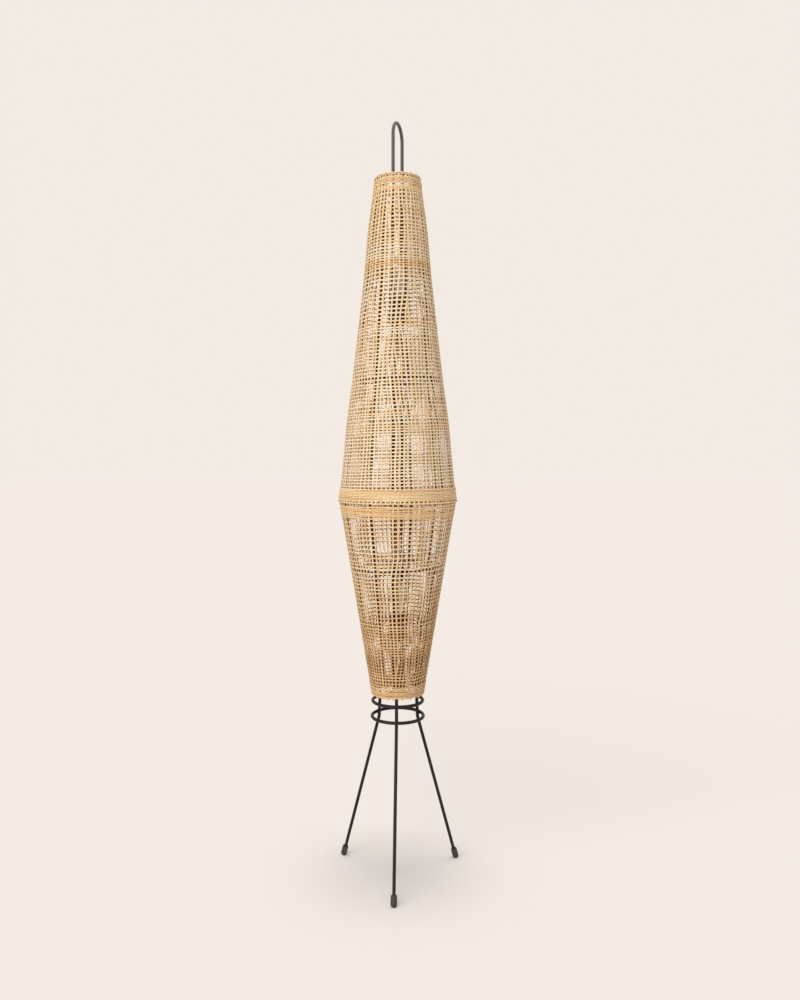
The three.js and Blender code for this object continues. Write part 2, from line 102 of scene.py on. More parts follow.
# %% Camera
eye_height = 0.908
eye_distance = 1.816
eye_right = 4.9 * mm
look_down = math.radians(3.03)
picture_height = 1000
focal_pixels = 853

bpy.ops.object.camera_add(
    location=(axis.x + eye_right, axis.y - eye_distance, eye_height),
    rotation=(math.pi / 2 - look_down, 0, 0),
)
camera = bpy.context.object
camera.name = "camera"
camera.data.sensor_width = 36
camera.data.lens = camera.data.sensor_width * focal_pixels / picture_height
camera.data.clip_start = 0.05
bpy.context.scene.camera = camera
bpy.context.scene.view_settings.view_transform = "Standard"
print("lens", round(camera.data.lens, 2), "mm")

# %% [markdown]
# The room is a plain pale floor under an even pale sky. The camera, mirrors and glass see the
# sky in the backdrop's colour, and everything else is lit by a whiter one. Node trees are built
# in code, so one helper adds a node, sets its values and links its sockets.

# %% Sky
backdrop = (0.888, 0.823, 0.768, 1)


def add_node(tree, kind, links=(), **values):
    """Adds a node, sets its values and sockets, and links sockets of other nodes to it."""
    node = tree.nodes.new(kind)
    for name, value in values.items():
        if hasattr(node, name):
            setattr(node, name, value)
        else:
            node.inputs[name.replace("_", " ")].default_value = value
    for output, name in links:
        tree.links.new(output, node.inputs[name])
    return node


def either(tree, first, second):
    """The larger of two sockets."""
    return add_node(tree, "ShaderNodeMath", [(first, 0), (second, 1)], operation="MAXIMUM").outputs[0]


def seen_directly(tree):
    """1 for camera, mirror and glass rays, and 0 for the rays that carry light."""
    rays = add_node(tree, "ShaderNodeLightPath")
    shiny = either(tree, rays.outputs["Is Camera Ray"], rays.outputs["Is Glossy Ray"])
    return either(tree, shiny, rays.outputs["Is Transmission Ray"])


world = bpy.data.worlds.new("studio")
bpy.context.scene.world = world
world.use_nodes = True
sky = world.node_tree
sky.nodes.clear()
light_sky = add_node(sky, "ShaderNodeBackground", Color=(1.0, 0.985, 0.965, 1), Strength=0.56)
seen_sky = add_node(sky, "ShaderNodeBackground", Color=backdrop, Strength=1.0)
either_sky = add_node(
    sky,
    "ShaderNodeMixShader",
    [(seen_directly(sky), 0), (light_sky.outputs[0], 1), (seen_sky.outputs[0], 2)],
)
add_node(sky, "ShaderNodeOutputWorld", [(either_sky.outputs[0], "Surface")])
print("sky:", len(sky.nodes), "nodes")

# %% [markdown]
# A broad sun straight above puts a soft shadow between the feet, and a stronger and broader one
# from the front left models the shade's roundness. Suns light the whole floor alike, so a very
# wide floor meets the sky with hardly a line.

# %% Suns and floor
def add_sun(name, strength, softness, tilt=0, turn=0, colour=(1, 1, 1)):
    """A sun lamp; how wide it is and how it is turned are in degrees."""
    bpy.ops.object.light_add(type="SUN", rotation=(math.radians(tilt), 0, math.radians(turn)))
    sun = bpy.context.object
    sun.name = name
    sun.data.energy = strength
    sun.data.angle = math.radians(softness)
    sun.data.color = colour
    return sun


add_sun("sun_above", strength=1.25, softness=20)
add_sun("sun_front", strength=2.03, softness=60, tilt=58, turn=-32, colour=(1, 0.99, 0.97))
floor_width = 60
floor_tone = (0.696, 0.647, 0.614, 1)

bpy.ops.object.select_all(action="DESELECT")
bpy.ops.mesh.primitive_plane_add(size=floor_width, location=(0, 0, 0))
floor = bpy.context.object
floor.name = "floor"
paint = bpy.data.materials.new("floor_paint")
paint.use_nodes = True
paint.node_tree.nodes.clear()
matt = add_node(paint.node_tree, "ShaderNodeBsdfDiffuse", Color=floor_tone)
add_node(paint.node_tree, "ShaderNodeOutputMaterial", [(matt.outputs[0], "Surface")])
floor.data.materials.append(paint)
print("floor:", floor.dimensions.x, "m wide")

# %% [markdown]
# Some helpers serve every piece. A finished piece rides on the body that carries it, stands for
# the plain nodes that it covers, and gets its material. Its place is applied to its mesh, so that
# its object sits at the origin.

# %% Selecting a piece
def clear_selection():
    if bpy.context.object and bpy.context.object.mode != "OBJECT":
        bpy.ops.object.mode_set(mode="OBJECT")
    bpy.ops.object.select_all(action="DESELECT")


def only(thing):
    """Selects this object alone, and makes it the active one."""
    clear_selection()
    thing.select_set(True)
    bpy.context.view_layer.objects.active = thing


def apply_place(thing):
    only(thing)
    bpy.ops.object.transform_apply(location=True, rotation=True, scale=True)
    return thing


# %% Finishing, joining and counting pieces
def settle(thing, name, body, material, stands_for=()):
    """Names a piece and ties it to its body, finish and plain nodes."""
    apply_place(thing)
    thing.name = name
    thing.data.name = name
    thing.data.materials.clear()
    thing.data.materials.append(material)
    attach(thing, body)
    if stands_for:
        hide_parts(*stands_for)
    return thing


def apply_modifier(thing, kind, **values):
    """Adds a modifier, sets it up and applies it at once."""
    only(thing)
    modifier = thing.modifiers.new(kind.lower(), kind)
    for key, value in values.items():
        setattr(modifier, key, value)
    bpy.ops.object.modifier_apply(modifier=modifier.name)
    return thing


def bevel_edges(thing, width, angle, segments=2):
    """Rounds the edges that are sharper than an angle in degrees."""
    return apply_modifier(
        thing, "BEVEL", width=width, segments=segments, limit_method="ANGLE", angle_limit=math.radians(angle)
    )


def join(things):
    only(things[0])
    for thing in things[1:]:
        thing.select_set(True)
    bpy.ops.object.join()
    return bpy.context.object


def triangles(things):
    return sum(len(polygon.vertices) - 2 for thing in things for polygon in thing.data.polygons)


# %% [markdown]
# ## Split rattan
# The strips are cut from the outside of a cane. The skin is straw yellow with a soft shine, and
# fine fibres run along it. Each length has its own tone, from pale straw to brown, where the cane
# was old or stained. The tone, the distance along the strip and the place across it come as
# attributes that each woven piece writes to its mesh, so the fibres follow the strips round the
# shade. A fourth one marks the skin; the inner side of the strips gets a painted shade, deep brown
# at the foot where the inside of the shade is dark. The edges of each strip get a painted shade
# too. One more noise reads the piece's own coordinates, for the slow drift of colour. A strip is
# so thin that some light comes through it, so a little of a translucent shader is mixed in.

# %% A new material
def new_material(name, **values):
    material = bpy.data.materials.new(name)
    material.use_nodes = True
    tree = material.node_tree
    tree.nodes.clear()
    shader = add_node(tree, "ShaderNodeBsdfPrincipled", (), **values)
    add_node(tree, "ShaderNodeOutputMaterial", [(shader.outputs[0], "Surface")])
    return material, tree, shader


def link_finish(tree, shader, colour, roughness, normal=None):
    """Links a colour, a roughness and the normal from a bump to the shader."""
    tree.links.new(colour, shader.inputs["Base Color"])
    tree.links.new(roughness, shader.inputs["Roughness"])
    if normal:
        tree.links.new(normal, shader.inputs["Normal"])


# %% Colours and patterns
def ramp(tree, factor, stops):
    """A colour ramp through (position, colour) stops."""
    node = add_node(tree, "ShaderNodeValToRGB", [(factor, 0)])
    while len(node.color_ramp.elements) < len(stops):
        node.color_ramp.elements.new(0.5)
    for element, (position, colour) in zip(node.color_ramp.elements, stops):
        element.position = position
        element.color = (*colour, 1)
    return node.outputs["Color"]


def mix(tree, factor, first, second, blend="MIX"):
    """Mixes two colours, each a socket or a plain colour, by a number or a socket."""
    node = tree.nodes.new("ShaderNodeMix")
    node.data_type = "RGBA"
    node.blend_type = blend
    for socket, value in ((node.inputs[0], factor), (node.inputs[6], first), (node.inputs[7], second)):
        if isinstance(value, bpy.types.NodeSocket):
            tree.links.new(value, socket)
        elif isinstance(value, (int, float)):
            socket.default_value = value
        else:
            socket.default_value = (*value, 1)
    return node.outputs[2]


def noise(tree, vector, scale, detail=3, roughness=0.55):
    node = add_node(
        tree, "ShaderNodeTexNoise", [(vector, "Vector")], Scale=scale, Detail=detail, Roughness=roughness
    )
    return node.outputs["Fac"]


def stretch(tree, vector, scale):
    node = add_node(tree, "ShaderNodeMapping", [(vector, "Vector")])
    node.inputs["Scale"].default_value = scale
    return node.outputs[0]


def bump(tree, height, strength, distance):
    node = add_node(tree, "ShaderNodeBump", [(height, "Height")], Strength=strength, Distance=distance)
    return node.outputs[0]


# %% Numbers and places
def spread(tree, value, low, high, start=0.0, end=1.0):
    """Maps start to end onto low to high."""
    node = add_node(tree, "ShaderNodeMapRange", [(value, 0)])
    node.inputs["From Min"].default_value = start
    node.inputs["From Max"].default_value = end
    node.inputs["To Min"].default_value = low
    node.inputs["To Max"].default_value = high
    return node.outputs[0]


def sums(tree, operation, first, second):
    """A math node on two values, each a socket or a number."""
    node = tree.nodes.new("ShaderNodeMath")
    node.operation = operation
    for socket, value in zip(node.inputs, (first, second)):
        if isinstance(value, bpy.types.NodeSocket):
            tree.links.new(value, socket)
        else:
            socket.default_value = value
    return node.outputs[0]


def object_place(tree):
    return add_node(tree, "ShaderNodeTexCoord").outputs["Object"]


def attribute(tree, name):
    return add_node(tree, "ShaderNodeAttribute", attribute_name=name).outputs["Fac"]


# %% Cane
fibre_brown = (0.50, 0.28, 0.11)
patch_tan = (0.76, 0.44, 0.20)
drift_rose = (0.88, 0.58, 0.38)
edge_shade_brown = (0.36, 0.19, 0.07)
inside_shade_brown = (0.21, 0.075, 0.018)
translucency = 0.15


def cane_material(name, stops, shine):
    """Cane whose tones come from the stops; the roughness starts at shine."""
    material, tree, shader = new_material(name)
    tone = attribute(tree, "tone")
    along = attribute(tree, "along")
    across = attribute(tree, "across")
    strip = add_node(tree, "ShaderNodeCombineXYZ", [(along, "X"), (across, "Y"), (tone, "Z")]).outputs[0]
    fibres = noise(tree, stretch(tree, strip, (60, 5, 40)), 1.0)
    patches = noise(tree, stretch(tree, strip, (14, 0.4, 30)), 1.0)
    drift = noise(tree, object_place(tree), 9.0)
    skin = ramp(tree, tone, stops)
    streaked = mix(tree, spread(tree, fibres, -0.40, 0.75), skin, fibre_brown)
    aged = mix(tree, spread(tree, patches, -0.65, 0.85), streaked, patch_tan)
    warm = mix(tree, spread(tree, drift, -0.55, 0.70), aged, drift_rose)
    # Painted shade along the edges of each strip, mixed towards dark brown.
    edge = sums(tree, "POWER", sums(tree, "ABSOLUTE", across, 0), 5)
    edge_shaded = mix(tree, sums(tree, "MULTIPLY", edge, 0.35), warm, edge_shade_brown)
    # Painted shade on the inner side of each strip, mixed far towards dark brown.
    inside_shaded = mix(tree, 0.90, edge_shaded, inside_shade_brown)
    sided_with_shade = mix(tree, attribute(tree, "skin"), inside_shaded, edge_shaded)
    rough = spread(tree, fibres, shine, shine + 0.25)
    link_finish(tree, shader, sided_with_shade, rough, bump(tree, fibres, 0.25, 0.0003))
    glow = add_node(tree, "ShaderNodeBsdfTranslucent", [(sided_with_shade, "Color")]).outputs[0]
    thin = add_node(tree, "ShaderNodeMixShader", [(shader.outputs[0], 1), (glow, 2)], Fac=translucency)
    tree.links.new(thin.outputs[0], tree.nodes["Material Output"].inputs["Surface"])
    return material


straw_stops = [
    (0.0, (0.09, 0.036, 0.010)),
    (0.25, (0.36, 0.165, 0.048)),
    (0.5, (0.72, 0.430, 0.165)),
    (0.75, (0.96, 0.720, 0.390)),
    (1.0, (0.98, 0.880, 0.670)),
]
cane = cane_material("split_cane", straw_stops, shine=0.38)
plait = cane_material("hem_cane", straw_stops, shine=0.45)
print("cane:", len(cane.node_tree.nodes), "nodes")

# %% [markdown]
# ## The woven wall
# The wall of each cone lies just outside its rings and ribs. It was measured to the outer face
# of the weave, so the middle of the wall is a little further in. The real wall isn't quite
# straight: it swells by two or three millimetres at two heights of the upper cone.

# %% Cones
strip_thick = 0.9 * mm  # a weaver's
stake_thick = 1.1 * mm
low_crown = 0.25 * mm  # how far a strip's middle stands above its edges
over = 0.75 * mm  # how far a weaver stands out or sits back at a stake
under = 0.25 * mm  # how far a stake gives way at a weaver
wall_thick = 3.2 * mm
plain_stakes = 27
swellings = [(1.378, 2.6 * mm), (0.977, 2.2 * mm)]
swelling_reach = 65 * mm


def cone_between(half, bottom_r, top_r):
    """A cone, as the height and radius of its bottom ring and then of its top ring."""
    bottom, top = (ring_height(f"{half}_frame_ring_{end}") for end in ("bottom", "top"))
    return bottom, bottom_r, top, top_r


lower_cone = cone_between("lower", bottom_ring_r, belly_r)
upper_cone = cone_between("upper", belly_r, top_ring_r)


def smooth(t):
    t = np.clip(t, 0, 1)
    return t * t * (3 - 2 * t)


def ring_line(cone, z):
    """The radius of the rings' and ribs' centres at a height."""
    z0, r0, z1, r1 = cone
    return r0 + (r1 - r0) * (z - z0) / (z1 - z0)


def wall_r(cone, z):
    """The radius of the middle of the woven wall at a height."""
    outer = (ring_line(cone, z) + frame_rod_r + gap) / math.cos(math.pi / plain_stakes) + wall_thick
    swell = sum(depth * np.exp(-(((z - height) / swelling_reach) ** 2)) for height, depth in swellings)
    return outer + swell - over - strip_thick / 2 - low_crown


def slope_of(cone):
    """The direction up the wall: how far it runs outwards and how far it rises."""
    z0, r0, z1, r1 = cone
    up = np.array((r1 - r0, z1 - z0))
    return up / np.hypot(*up)


print("middle of the wall at the belly:", round(wall_r(upper_cone, 0.82) / mm, 1), "mm")

# %% [markdown]
# Many stakes start at the belly, and there isn't room for all of them at the rims. So some of
# them end on the way: each tucks in behind its neighbour, and the others spread out evenly over
# the room that it leaves. They end two at a time, on opposite sides, and the number of stakes
# stays odd. That lets one weaver spiral up the wall for ever: after each turn it meets every
# stake on the other side.

# %% Stakes
stake_sway = 0.7 * mm  # how far the stakes wander sideways
least_gap = 0.15 * mm  # between neighbouring stakes
brown_share = 0.12  # of the stakes
brown_drop = 0.16  # in their tone


class Stakes:
    """Where the stakes of one cone stand, how wide they are and which tone each one has.

    Two stakes end near each of the heights in ends, on the way up (direction 1) or down (-1), and
    give up their room over the height fade. The widths are for the bottom and the top ring, and
    the tones are a mean and a spread.
    """

    def __init__(self, cone, seed, count, direction, ends, fade, widths, tones):
        chance = np.random.default_rng(seed)
        self.cone = cone
        self.chance = chance
        self.count = count
        self.direction = direction
        self.fade = fade
        self.end = np.full(count, np.inf) * direction
        self.beside = np.arange(count)
        pairs = count // 4
        for step, height in enumerate(ends):
            for pair in (step * 7 % pairs, step * 7 % pairs + pairs):
                ending = 2 * pair + 1
                self.end[ending] = height + chance.uniform(-3, 3) * mm
                self.beside[ending] = ending - 1
        self.shift = chance.normal(0, stake_sway, count)
        self.waves = chance.uniform(0, 2 * np.pi, (2, count))
        self.lengths = chance.uniform(0.09, 0.30, (2, count))
        self.widths = widths
        self.wider = chance.normal(1, 0.07, count)
        self.tone = chance.normal(*tones, count)
        self.tone[chance.random(count) < brown_share] -= brown_drop

    def share(self, k, z):
        """The share of their room that stakes k have at heights z: 1, or less where they end."""
        return smooth(self.direction * (self.end[k] - z) / self.fade)

    def stop(self, k):
        """The height at which a stake is cut off behind its neighbour."""
        return self.end[k] - self.direction * 0.36 * self.fade

    def width(self, k, z):
        """The widths of stakes k at heights z."""
        z0, _, z1, _ = self.cone
        bottom, top = self.widths
        return (bottom + (top - bottom) * (z - z0) / (z1 - z0)) * self.wider[k]

    def at(self, k, z):
        """The azimuths of stakes k at heights z."""
        room = self.share(slice(None), z[:, None])
        total = room.sum(axis=1)
        cell = (np.cumsum(room, axis=1) - room / 2) / total[:, None]
        rows = np.arange(len(z))
        own = cell[rows, k]
        beside = cell[rows, self.beside[k]]
        turned = beside + (own - beside) * room[rows, k]
        r = wall_r(self.cone, z)
        spare = np.maximum(2 * np.pi * r / total - self.width(k, z) - least_gap, 0)
        drift = self.shift[k] * np.sin(2 * np.pi * z / self.lengths[0, k] + self.waves[0, k])
        drift = drift + self.shift[k] * np.sin(2 * np.pi * z / self.lengths[1, k] + self.waves[1, k])
        return rib_turn + 2 * np.pi * turned + np.clip(drift, -spare / 2.6, spare / 2.6) / r


# %% [markdown]
# Each strip starts as a grid three points wide. Its points are then moved to their places in the
# wall, with the middle row raised for the cane's round back, and a Solidify modifier gives it
# its thickness on the inner side.

# %% Strips
def cylinder_points(azimuth, radius, z):
    return np.stack([axis.x + radius * np.sin(azimuth), axis.y - radius * np.cos(azimuth), z], axis=-1)


def directions(azimuth, out, up):
    """Directions at azimuths that go out from the lamp's axis and up by the same amounts."""
    return np.stack([np.sin(azimuth) * out, -np.cos(azimuth) * out, np.full_like(azimuth, up)], axis=-1)


def write_attributes(mesh, **values):
    for key, value in values.items():
        layer = mesh.attributes.new(key, "FLOAT", "POINT")
        layer.data.foreach_set("value", np.asarray(value).astype(np.float32))


def ribbon(name, centre, sideways, outward, width, tone, along, thick, crown=low_crown):
    """A strip of three rows of points, crowned in the middle, with its back left open."""
    count = len(centre)
    clear_selection()
    bpy.ops.mesh.primitive_grid_add(x_subdivisions=count - 1, y_subdivisions=2, size=1)
    strip = bpy.context.object
    strip.name = name
    mesh = strip.data
    flat = np.empty(len(mesh.vertices) * 3)
    mesh.vertices.foreach_get("co", flat)
    flat = flat.reshape(-1, 3)
    station = np.rint((flat[:, 0] + 0.5) * (count - 1)).astype(int)
    across = flat[:, 1] * 2
    half = (np.asarray(width) / 2 * np.ones(count))[station]
    points = centre[station] + sideways[station] * (across * half)[:, None]
    points += outward[station] * ((1 - across**2) * crown + thick / 2)[:, None]
    mesh.vertices.foreach_set("co", points.ravel())
    tones = (np.asarray(tone) * np.ones(count))[station]
    write_attributes(mesh, tone=tones, along=along[station], across=across)
    mesh.update()
    return strip


# %% Thickness of the strips
def inner_side_unshaded(z):
    """Painted shade on the inner side of the strips: brown at the foot and paler from the belly up."""
    return smooth((z - 0.48) / 0.34)


def thicken(strip, thick):
    """Thickens a strip inwards, marks its outer side as skin and its inner side for painted shade, and
    smooths it.
    """
    outer = len(strip.data.vertices)
    apply_modifier(strip, "SOLIDIFY", thickness=thick, offset=-1)
    count = len(strip.data.vertices)
    places = np.empty(3 * count)
    strip.data.vertices.foreach_get("co", places)
    # Inner faces carry the painted shade, strongest at the foot.
    skin = np.where(np.arange(count) < outer, 1.0, inner_side_unshaded(places[2::3]))
    write_attributes(strip.data, skin=skin)
    bpy.ops.object.shade_smooth_by_angle(angle=math.radians(50))
    return strip


# %% [markdown]
# A weaver passes over one stake and under the next. Each crossing takes two stations, one at each
# edge of the stake, so the strip lies flat on the stake and slants through the gap between. The
# heights of its turns come as a list, with close turns for a hem and wide ones for the open
# weave. The weaver starts at the back. It skips a stake that is about to end, and goes on over
# and under those that stay.

# %% Weavers
tilt_fade = 60 * mm  # height over which a slope of the rows dies out at the rims
unevenness = 0.06 * mm  # in the distance of a crossing from the axis
tone_limits = (-1.4, 1.6)  # so that no length of cane stands out


class Weaver:
    """One strip that spirals up a cone through the stakes; its width is given for both rims.

    It runs by reach outside or inside the middle of the wall at each stake, and all of it stands
    proud by the amount given. Waviness is how far its height wanders, and tilt is the slope of
    its rows.
    """

    def __init__(self, stakes, heights, width, seed, proud=0.0, waviness=0.4 * mm, reach=over, tilt=0.0):
        chance = np.random.default_rng(seed)
        z0, _, z1, _ = stakes.cone
        self.stakes = stakes
        self.turns = len(heights) - 1
        every = np.arange(self.turns * stakes.count + 1)
        meets = (every + stakes.count // 2) % stakes.count
        turned = every / stakes.count
        z = np.interp(turned, np.arange(len(heights)), heights)
        for _ in range(4):
            per_turn = chance.uniform(0.6, 4.5)
            z = z + waviness * np.sin(2 * np.pi * per_turn * turned + chance.uniform(0, 2 * np.pi)) / 2
        fade = smooth((z - z0) / tilt_fade) * smooth((z1 - z) / tilt_fade)
        z = z - tilt * fade * wall_r(stakes.cone, z) * np.sin(rib_turn + 2 * np.pi * turned)
        kept = stakes.share(meets, z) > 0.55
        self.turned = turned[kept]
        self.z = z[kept]
        self.k = meets[kept]
        self.sign = np.where(np.arange(len(self.k)) % 2 == 0, 1.0, -1.0)
        wider = chance.normal(0, 1, self.turns * 7 + 2)
        self.width = np.interp(self.z, (z0, z1), width)
        self.width = self.width * (1 + 0.07 * np.interp(self.turned * 7, np.arange(len(wider)), wider))
        self.proud = proud
        self.reach = reach
        self.chance = chance

    def tones(self, base, spread_of_tones, length_turns, brown=()):
        """A tone for each crossing: one for each length of cane, browner in the brown zones."""
        lengths = self.chance.uniform(0.7, 1.3, self.turns * 2 + 4) * length_turns
        starts = np.cumsum(lengths)
        piece = np.searchsorted(starts, self.turned)
        draws = np.clip(self.chance.normal(0, 1, len(starts) + 1), *tone_limits)
        tone = base(self.z) + spread_of_tones * draws[piece]
        for height, depth, drop in brown:
            tone = tone - drop * (np.abs(self.z - height) < depth / 2)
        self.tone = np.clip(tone, 0.02, 1)
        return self

    def build(self, name, crown=low_crown):
        """The weaver's strip, laid over and under its stakes."""
        k = np.repeat(self.k, 2)
        z = np.repeat(self.z, 2)
        edge = np.tile([-1.0, 1.0], len(self.k))
        cone = self.stakes.cone
        run, rise = slope_of(cone)
        r = wall_r(cone, z) + self.proud + np.repeat(self.sign, 2) * self.reach
        r += self.chance.normal(0, unevenness, len(r))
        azimuth = self.stakes.at(k, z) + edge * 0.4 * self.stakes.width(k, z) / r
        centre = cylinder_points(azimuth, r, z)
        outward = directions(azimuth, rise, -run)
        sideways = directions(azimuth, run, rise)
        steps = np.linalg.norm(np.diff(centre, axis=0), axis=1)
        along = np.concatenate([[0], np.cumsum(steps)])
        width = np.repeat(self.width, 2)
        tone = np.repeat(self.tone, 2)
        strip = ribbon(name, centre, sideways, outward, width, tone, along, strip_thick, crown)
        return thicken(strip, strip_thick)


# %% [markdown]
# A stake is bent a little by every weaver that it meets: in where the weaver passes outside it,
# and out where the weaver passes behind. So the stakes read the crossings of all the weavers.

# %% Building the stakes
tuck_depth = 1.1 * mm  # how far an ending stake goes behind its neighbour
pattern_step = 1.7  # metres between the fibre patterns of neighbouring stakes


def stake_heights(stakes, k, weavers, z0, z1, ragged):
    """The heights at which stake k meets its weavers, and how far it is bent there."""
    z = np.concatenate([weaver.z[weaver.k == k] for weaver in weavers])
    bend = np.concatenate([-weaver.sign[weaver.k == k] * under for weaver in weavers])
    order = np.argsort(z)
    z, bend = z[order], bend[order]
    apart = np.concatenate([[True], np.diff(z) > 0.6 * mm])
    z, bend = z[apart], bend[apart]
    if stakes.direction > 0:
        z1 = min(z1, stakes.stop(k))
    else:
        z0 = max(z0, stakes.stop(k))
    z0 = z0 + stakes.chance.normal(0, ragged)
    z1 = z1 + stakes.chance.normal(0, ragged)
    inside = (z > z0 + mm) & (z < z1 - mm)
    return np.concatenate([[z0], z[inside], [z1]]), np.concatenate([[0], bend[inside], [0]])


def build_stakes(name, stakes, weavers, z0, z1, flare=None, darker=None, ragged=0.5 * mm):
    """All the stakes of a cone as one piece; flare and darker change their radius and tone."""
    strips = []
    run, rise = slope_of(stakes.cone)
    for k in range(stakes.count):
        z, bend = stake_heights(stakes, k, weavers, z0, z1, ragged)
        tucked = tuck_depth * smooth(1.4 * (1 - stakes.share(k, z)))
        r = wall_r(stakes.cone, z) + bend - tucked
        if flare is not None:
            r = r + flare(z)
        azimuth = stakes.at(np.full(len(z), k), z)
        centre = cylinder_points(azimuth, r, z)
        outward = directions(azimuth, rise, -run)
        sideways = np.stack([np.cos(azimuth), np.sin(azimuth), np.zeros_like(z)], axis=-1)
        slow = 0.05 * np.sin(z / 0.11 + stakes.waves[0, k]) + 0.04 * np.sin(z / 0.043 + stakes.waves[1, k])
        if darker is not None:
            slow = slow - darker(z)
        tone = np.clip(stakes.tone[k] + slow, 0.02, 1)
        along = z + k * pattern_step
        width = stakes.width(k, z)
        strips.append(ribbon(name, centre, -sideways, outward, width, tone, along, stake_thick))
    return thicken(join(strips), stake_thick)


# %% [markdown]
# ## Upper cone
# From the seam upwards: a lip that laps over the lower cone, eight fine rows sewn close together,
# then about eighty open rows, and a close band at the top rim. The open rows aren't even: they
# crowd in a few places, where the weaver was also browner. They slope up a little to the right.

# %% Rows of the upper cone
front_share = 0.5 - rib_turn / (2 * math.pi)


def row_heights(start, rows):
    """Heights of a spiral's turns from (number of rows, pitch) pairs."""
    pitches = np.concatenate([np.full(count, pitch) for count, pitch in rows])
    return start + np.concatenate([[0], np.cumsum(pitches)])


# %% Uneven rows
hole_opening = 1.0 * mm  # how far the rows are pushed up and down at the row of holes
hole_reach = 15 * mm
shift_reach = 40 * mm


def open_rows(start, end, count, seed, crowded=(), hole_at=0):
    """Heights of uneven open rows, closer at the crowded heights, with a row of holes at one height."""
    chance = np.random.default_rng(seed)
    slow = chance.normal(0, 0.10, count // 6 + 2)
    pitch = chance.normal(1, 0.10, count) + np.interp(np.arange(count), np.arange(len(slow)) * 6, slow)
    pitch = np.clip(pitch, 0.82, 1.14)
    middle = start + (end - start) * (np.arange(count) + 0.5) / count
    for height, depth, share in crowded:
        pitch = np.where(np.abs(middle - height) < depth / 2, pitch * share, pitch)
    heights = start + np.concatenate([[0], np.cumsum(pitch)]) * (end - start) / pitch.sum()
    in_front = heights[:-1] + front_share * np.diff(heights)
    half_pitch = (end - start) / count / 2
    below = hole_at - half_pitch
    shift = below - in_front[np.abs(in_front - below).argmin()]
    heights = heights + shift * np.exp(-(((heights - hole_at) / shift_reach) ** 2))
    apart = np.sign(heights - below - half_pitch)
    return heights + hole_opening * apart * np.exp(-(((heights - hole_at) / hole_reach) ** 2))


# %% Stakes, tones and lip of the upper cone
seam = (top_of("lower_weave") + bottom_of("upper_weave")) / 2
lip = bottom_of("upper_hem_band")
top_edge = top_of("upper_weave")
upper_ends = np.linspace(1.03, 1.29, 19)
upper = Stakes(
    upper_cone, seed=11, count=81, direction=1, ends=upper_ends, fade=0.07,
    widths=(3.3 * mm, 3.8 * mm), tones=(0.84, 0.08),
)


def upper_tone(z):
    """Pale over the belly, a little darker towards the top rim."""
    return 1.0 - 0.27 * smooth((z - 1.10) / 0.34)


def even_tone(tone):
    return lambda z: tone + 0 * z


def lip_flare(z):
    """The hem stands out over the lower cone."""
    return 1.9 * mm * smooth((seam + 4 * mm - z) / (9 * mm))


def both(width):
    """The same width at both rims."""
    return width, width


print("upper stakes:", upper.count, "of which", 2 * len(upper_ends), "end on the way")

# %% Open rows of the upper cone
hoop_hole = 1.0637
brown_rows = [(1.297, 12 * mm, 0.22), (1.175, 9 * mm, 0.18), (1.000, 7 * mm, 0.16), (0.967, 9 * mm, 0.18)]
crowded_rows = [(z, 2.4 * depth, 0.72) for z, depth, _ in brown_rows]
rows = open_rows(841.5 * mm, 1445 * mm, count=83, seed=5, crowded=crowded_rows, hole_at=hoop_hole)
upper_open = Weaver(upper, rows, (2.8 * mm, 3.3 * mm), seed=21, tilt=0.024)
upper_open.tones(upper_tone, 0.10, 2.2, brown_rows)
rows = row_heights(1446.6 * mm, [(3, 3.5 * mm)])
top_three = Weaver(upper, rows, both(2.7 * mm), seed=24, proud=0.2 * mm, waviness=0.3 * mm)
top_three.tones(upper_tone, 0.06, 1.5)
print("open rows:", upper_open.turns, "with", len(upper_open.k), "crossings")

# %% Hem, lip and top rim of the upper cone
rows = row_heights(814.1 * mm, [(8, 3.2 * mm)])
upper_hem = Weaver(
    upper, rows, both(2.75 * mm), seed=22, proud=0.9 * mm, waviness=0.25 * mm, reach=0.6 * mm
)
upper_hem.tones(even_tone(0.72), 0.11, 0.5)
rows = row_heights(lip + 0.9 * mm, [(1, 0.2 * mm)])
upper_lip = Weaver(upper, rows, both(2.1 * mm), seed=23, proud=1.9 * mm, waviness=0.2 * mm, reach=0.5 * mm)
upper_lip.tones(even_tone(0.78), 0.05, 1.0)
rows = row_heights(1460.2 * mm, [(5, 3 * mm)])
top_rows = Weaver(upper, rows, both(2.6 * mm), seed=25, proud=0.5 * mm, waviness=0.25 * mm)
top_rows.tones(even_tone(0.71), 0.12, 0.5)
rows = row_heights(1478.3 * mm, [(2, 2.5 * mm)])
top_lip = Weaver(upper, rows, both(2.2 * mm), seed=26, proud=0.5 * mm, waviness=0.25 * mm)
top_lip.tones(even_tone(0.66), 0.06, 1.1)
print("upper rows:", upper_open.turns + upper_hem.turns + top_rows.turns)

# %% Build the upper cone
upper_weavers = [upper_lip, upper_hem, upper_open, top_three, top_rows, top_lip]
upper_stakes = build_stakes(
    "upper_stakes", upper, upper_weavers, lip + 0.5 * mm, top_edge - 0.4 * mm, lip_flare
)
settle(upper_stakes, "upper_stakes", "upper_shade", cane, ["upper_weave"])
weavers = join([upper_open.build("upper_weavers"), top_three.build("top_three")])
settle(weavers, "upper_weavers", "upper_shade", cane, ["upper_weave"])
round_crown = 0.6 * mm
hem = join([upper_hem.build("upper_hem", round_crown), upper_lip.build("upper_lip", round_crown)])
settle(hem, "upper_hem_rows", "upper_shade", plait, ["upper_hem_band"])
rim = join([top_rows.build("top_rows", round_crown), top_lip.build("top_lip", round_crown)])
settle(rim, "top_rim_rows", "upper_shade", plait, ["top_rim_band"])
print("upper cone:", triangles([upper_stakes, weavers, hem, rim]), "triangles")

# %% [markdown]
# ## Lower cone
# The lower cone is woven a little coarser and browner. Under the seam a few golden rows run in
# slow waves, and the open rows close up towards the bottom rim, whose edge is slightly frayed.

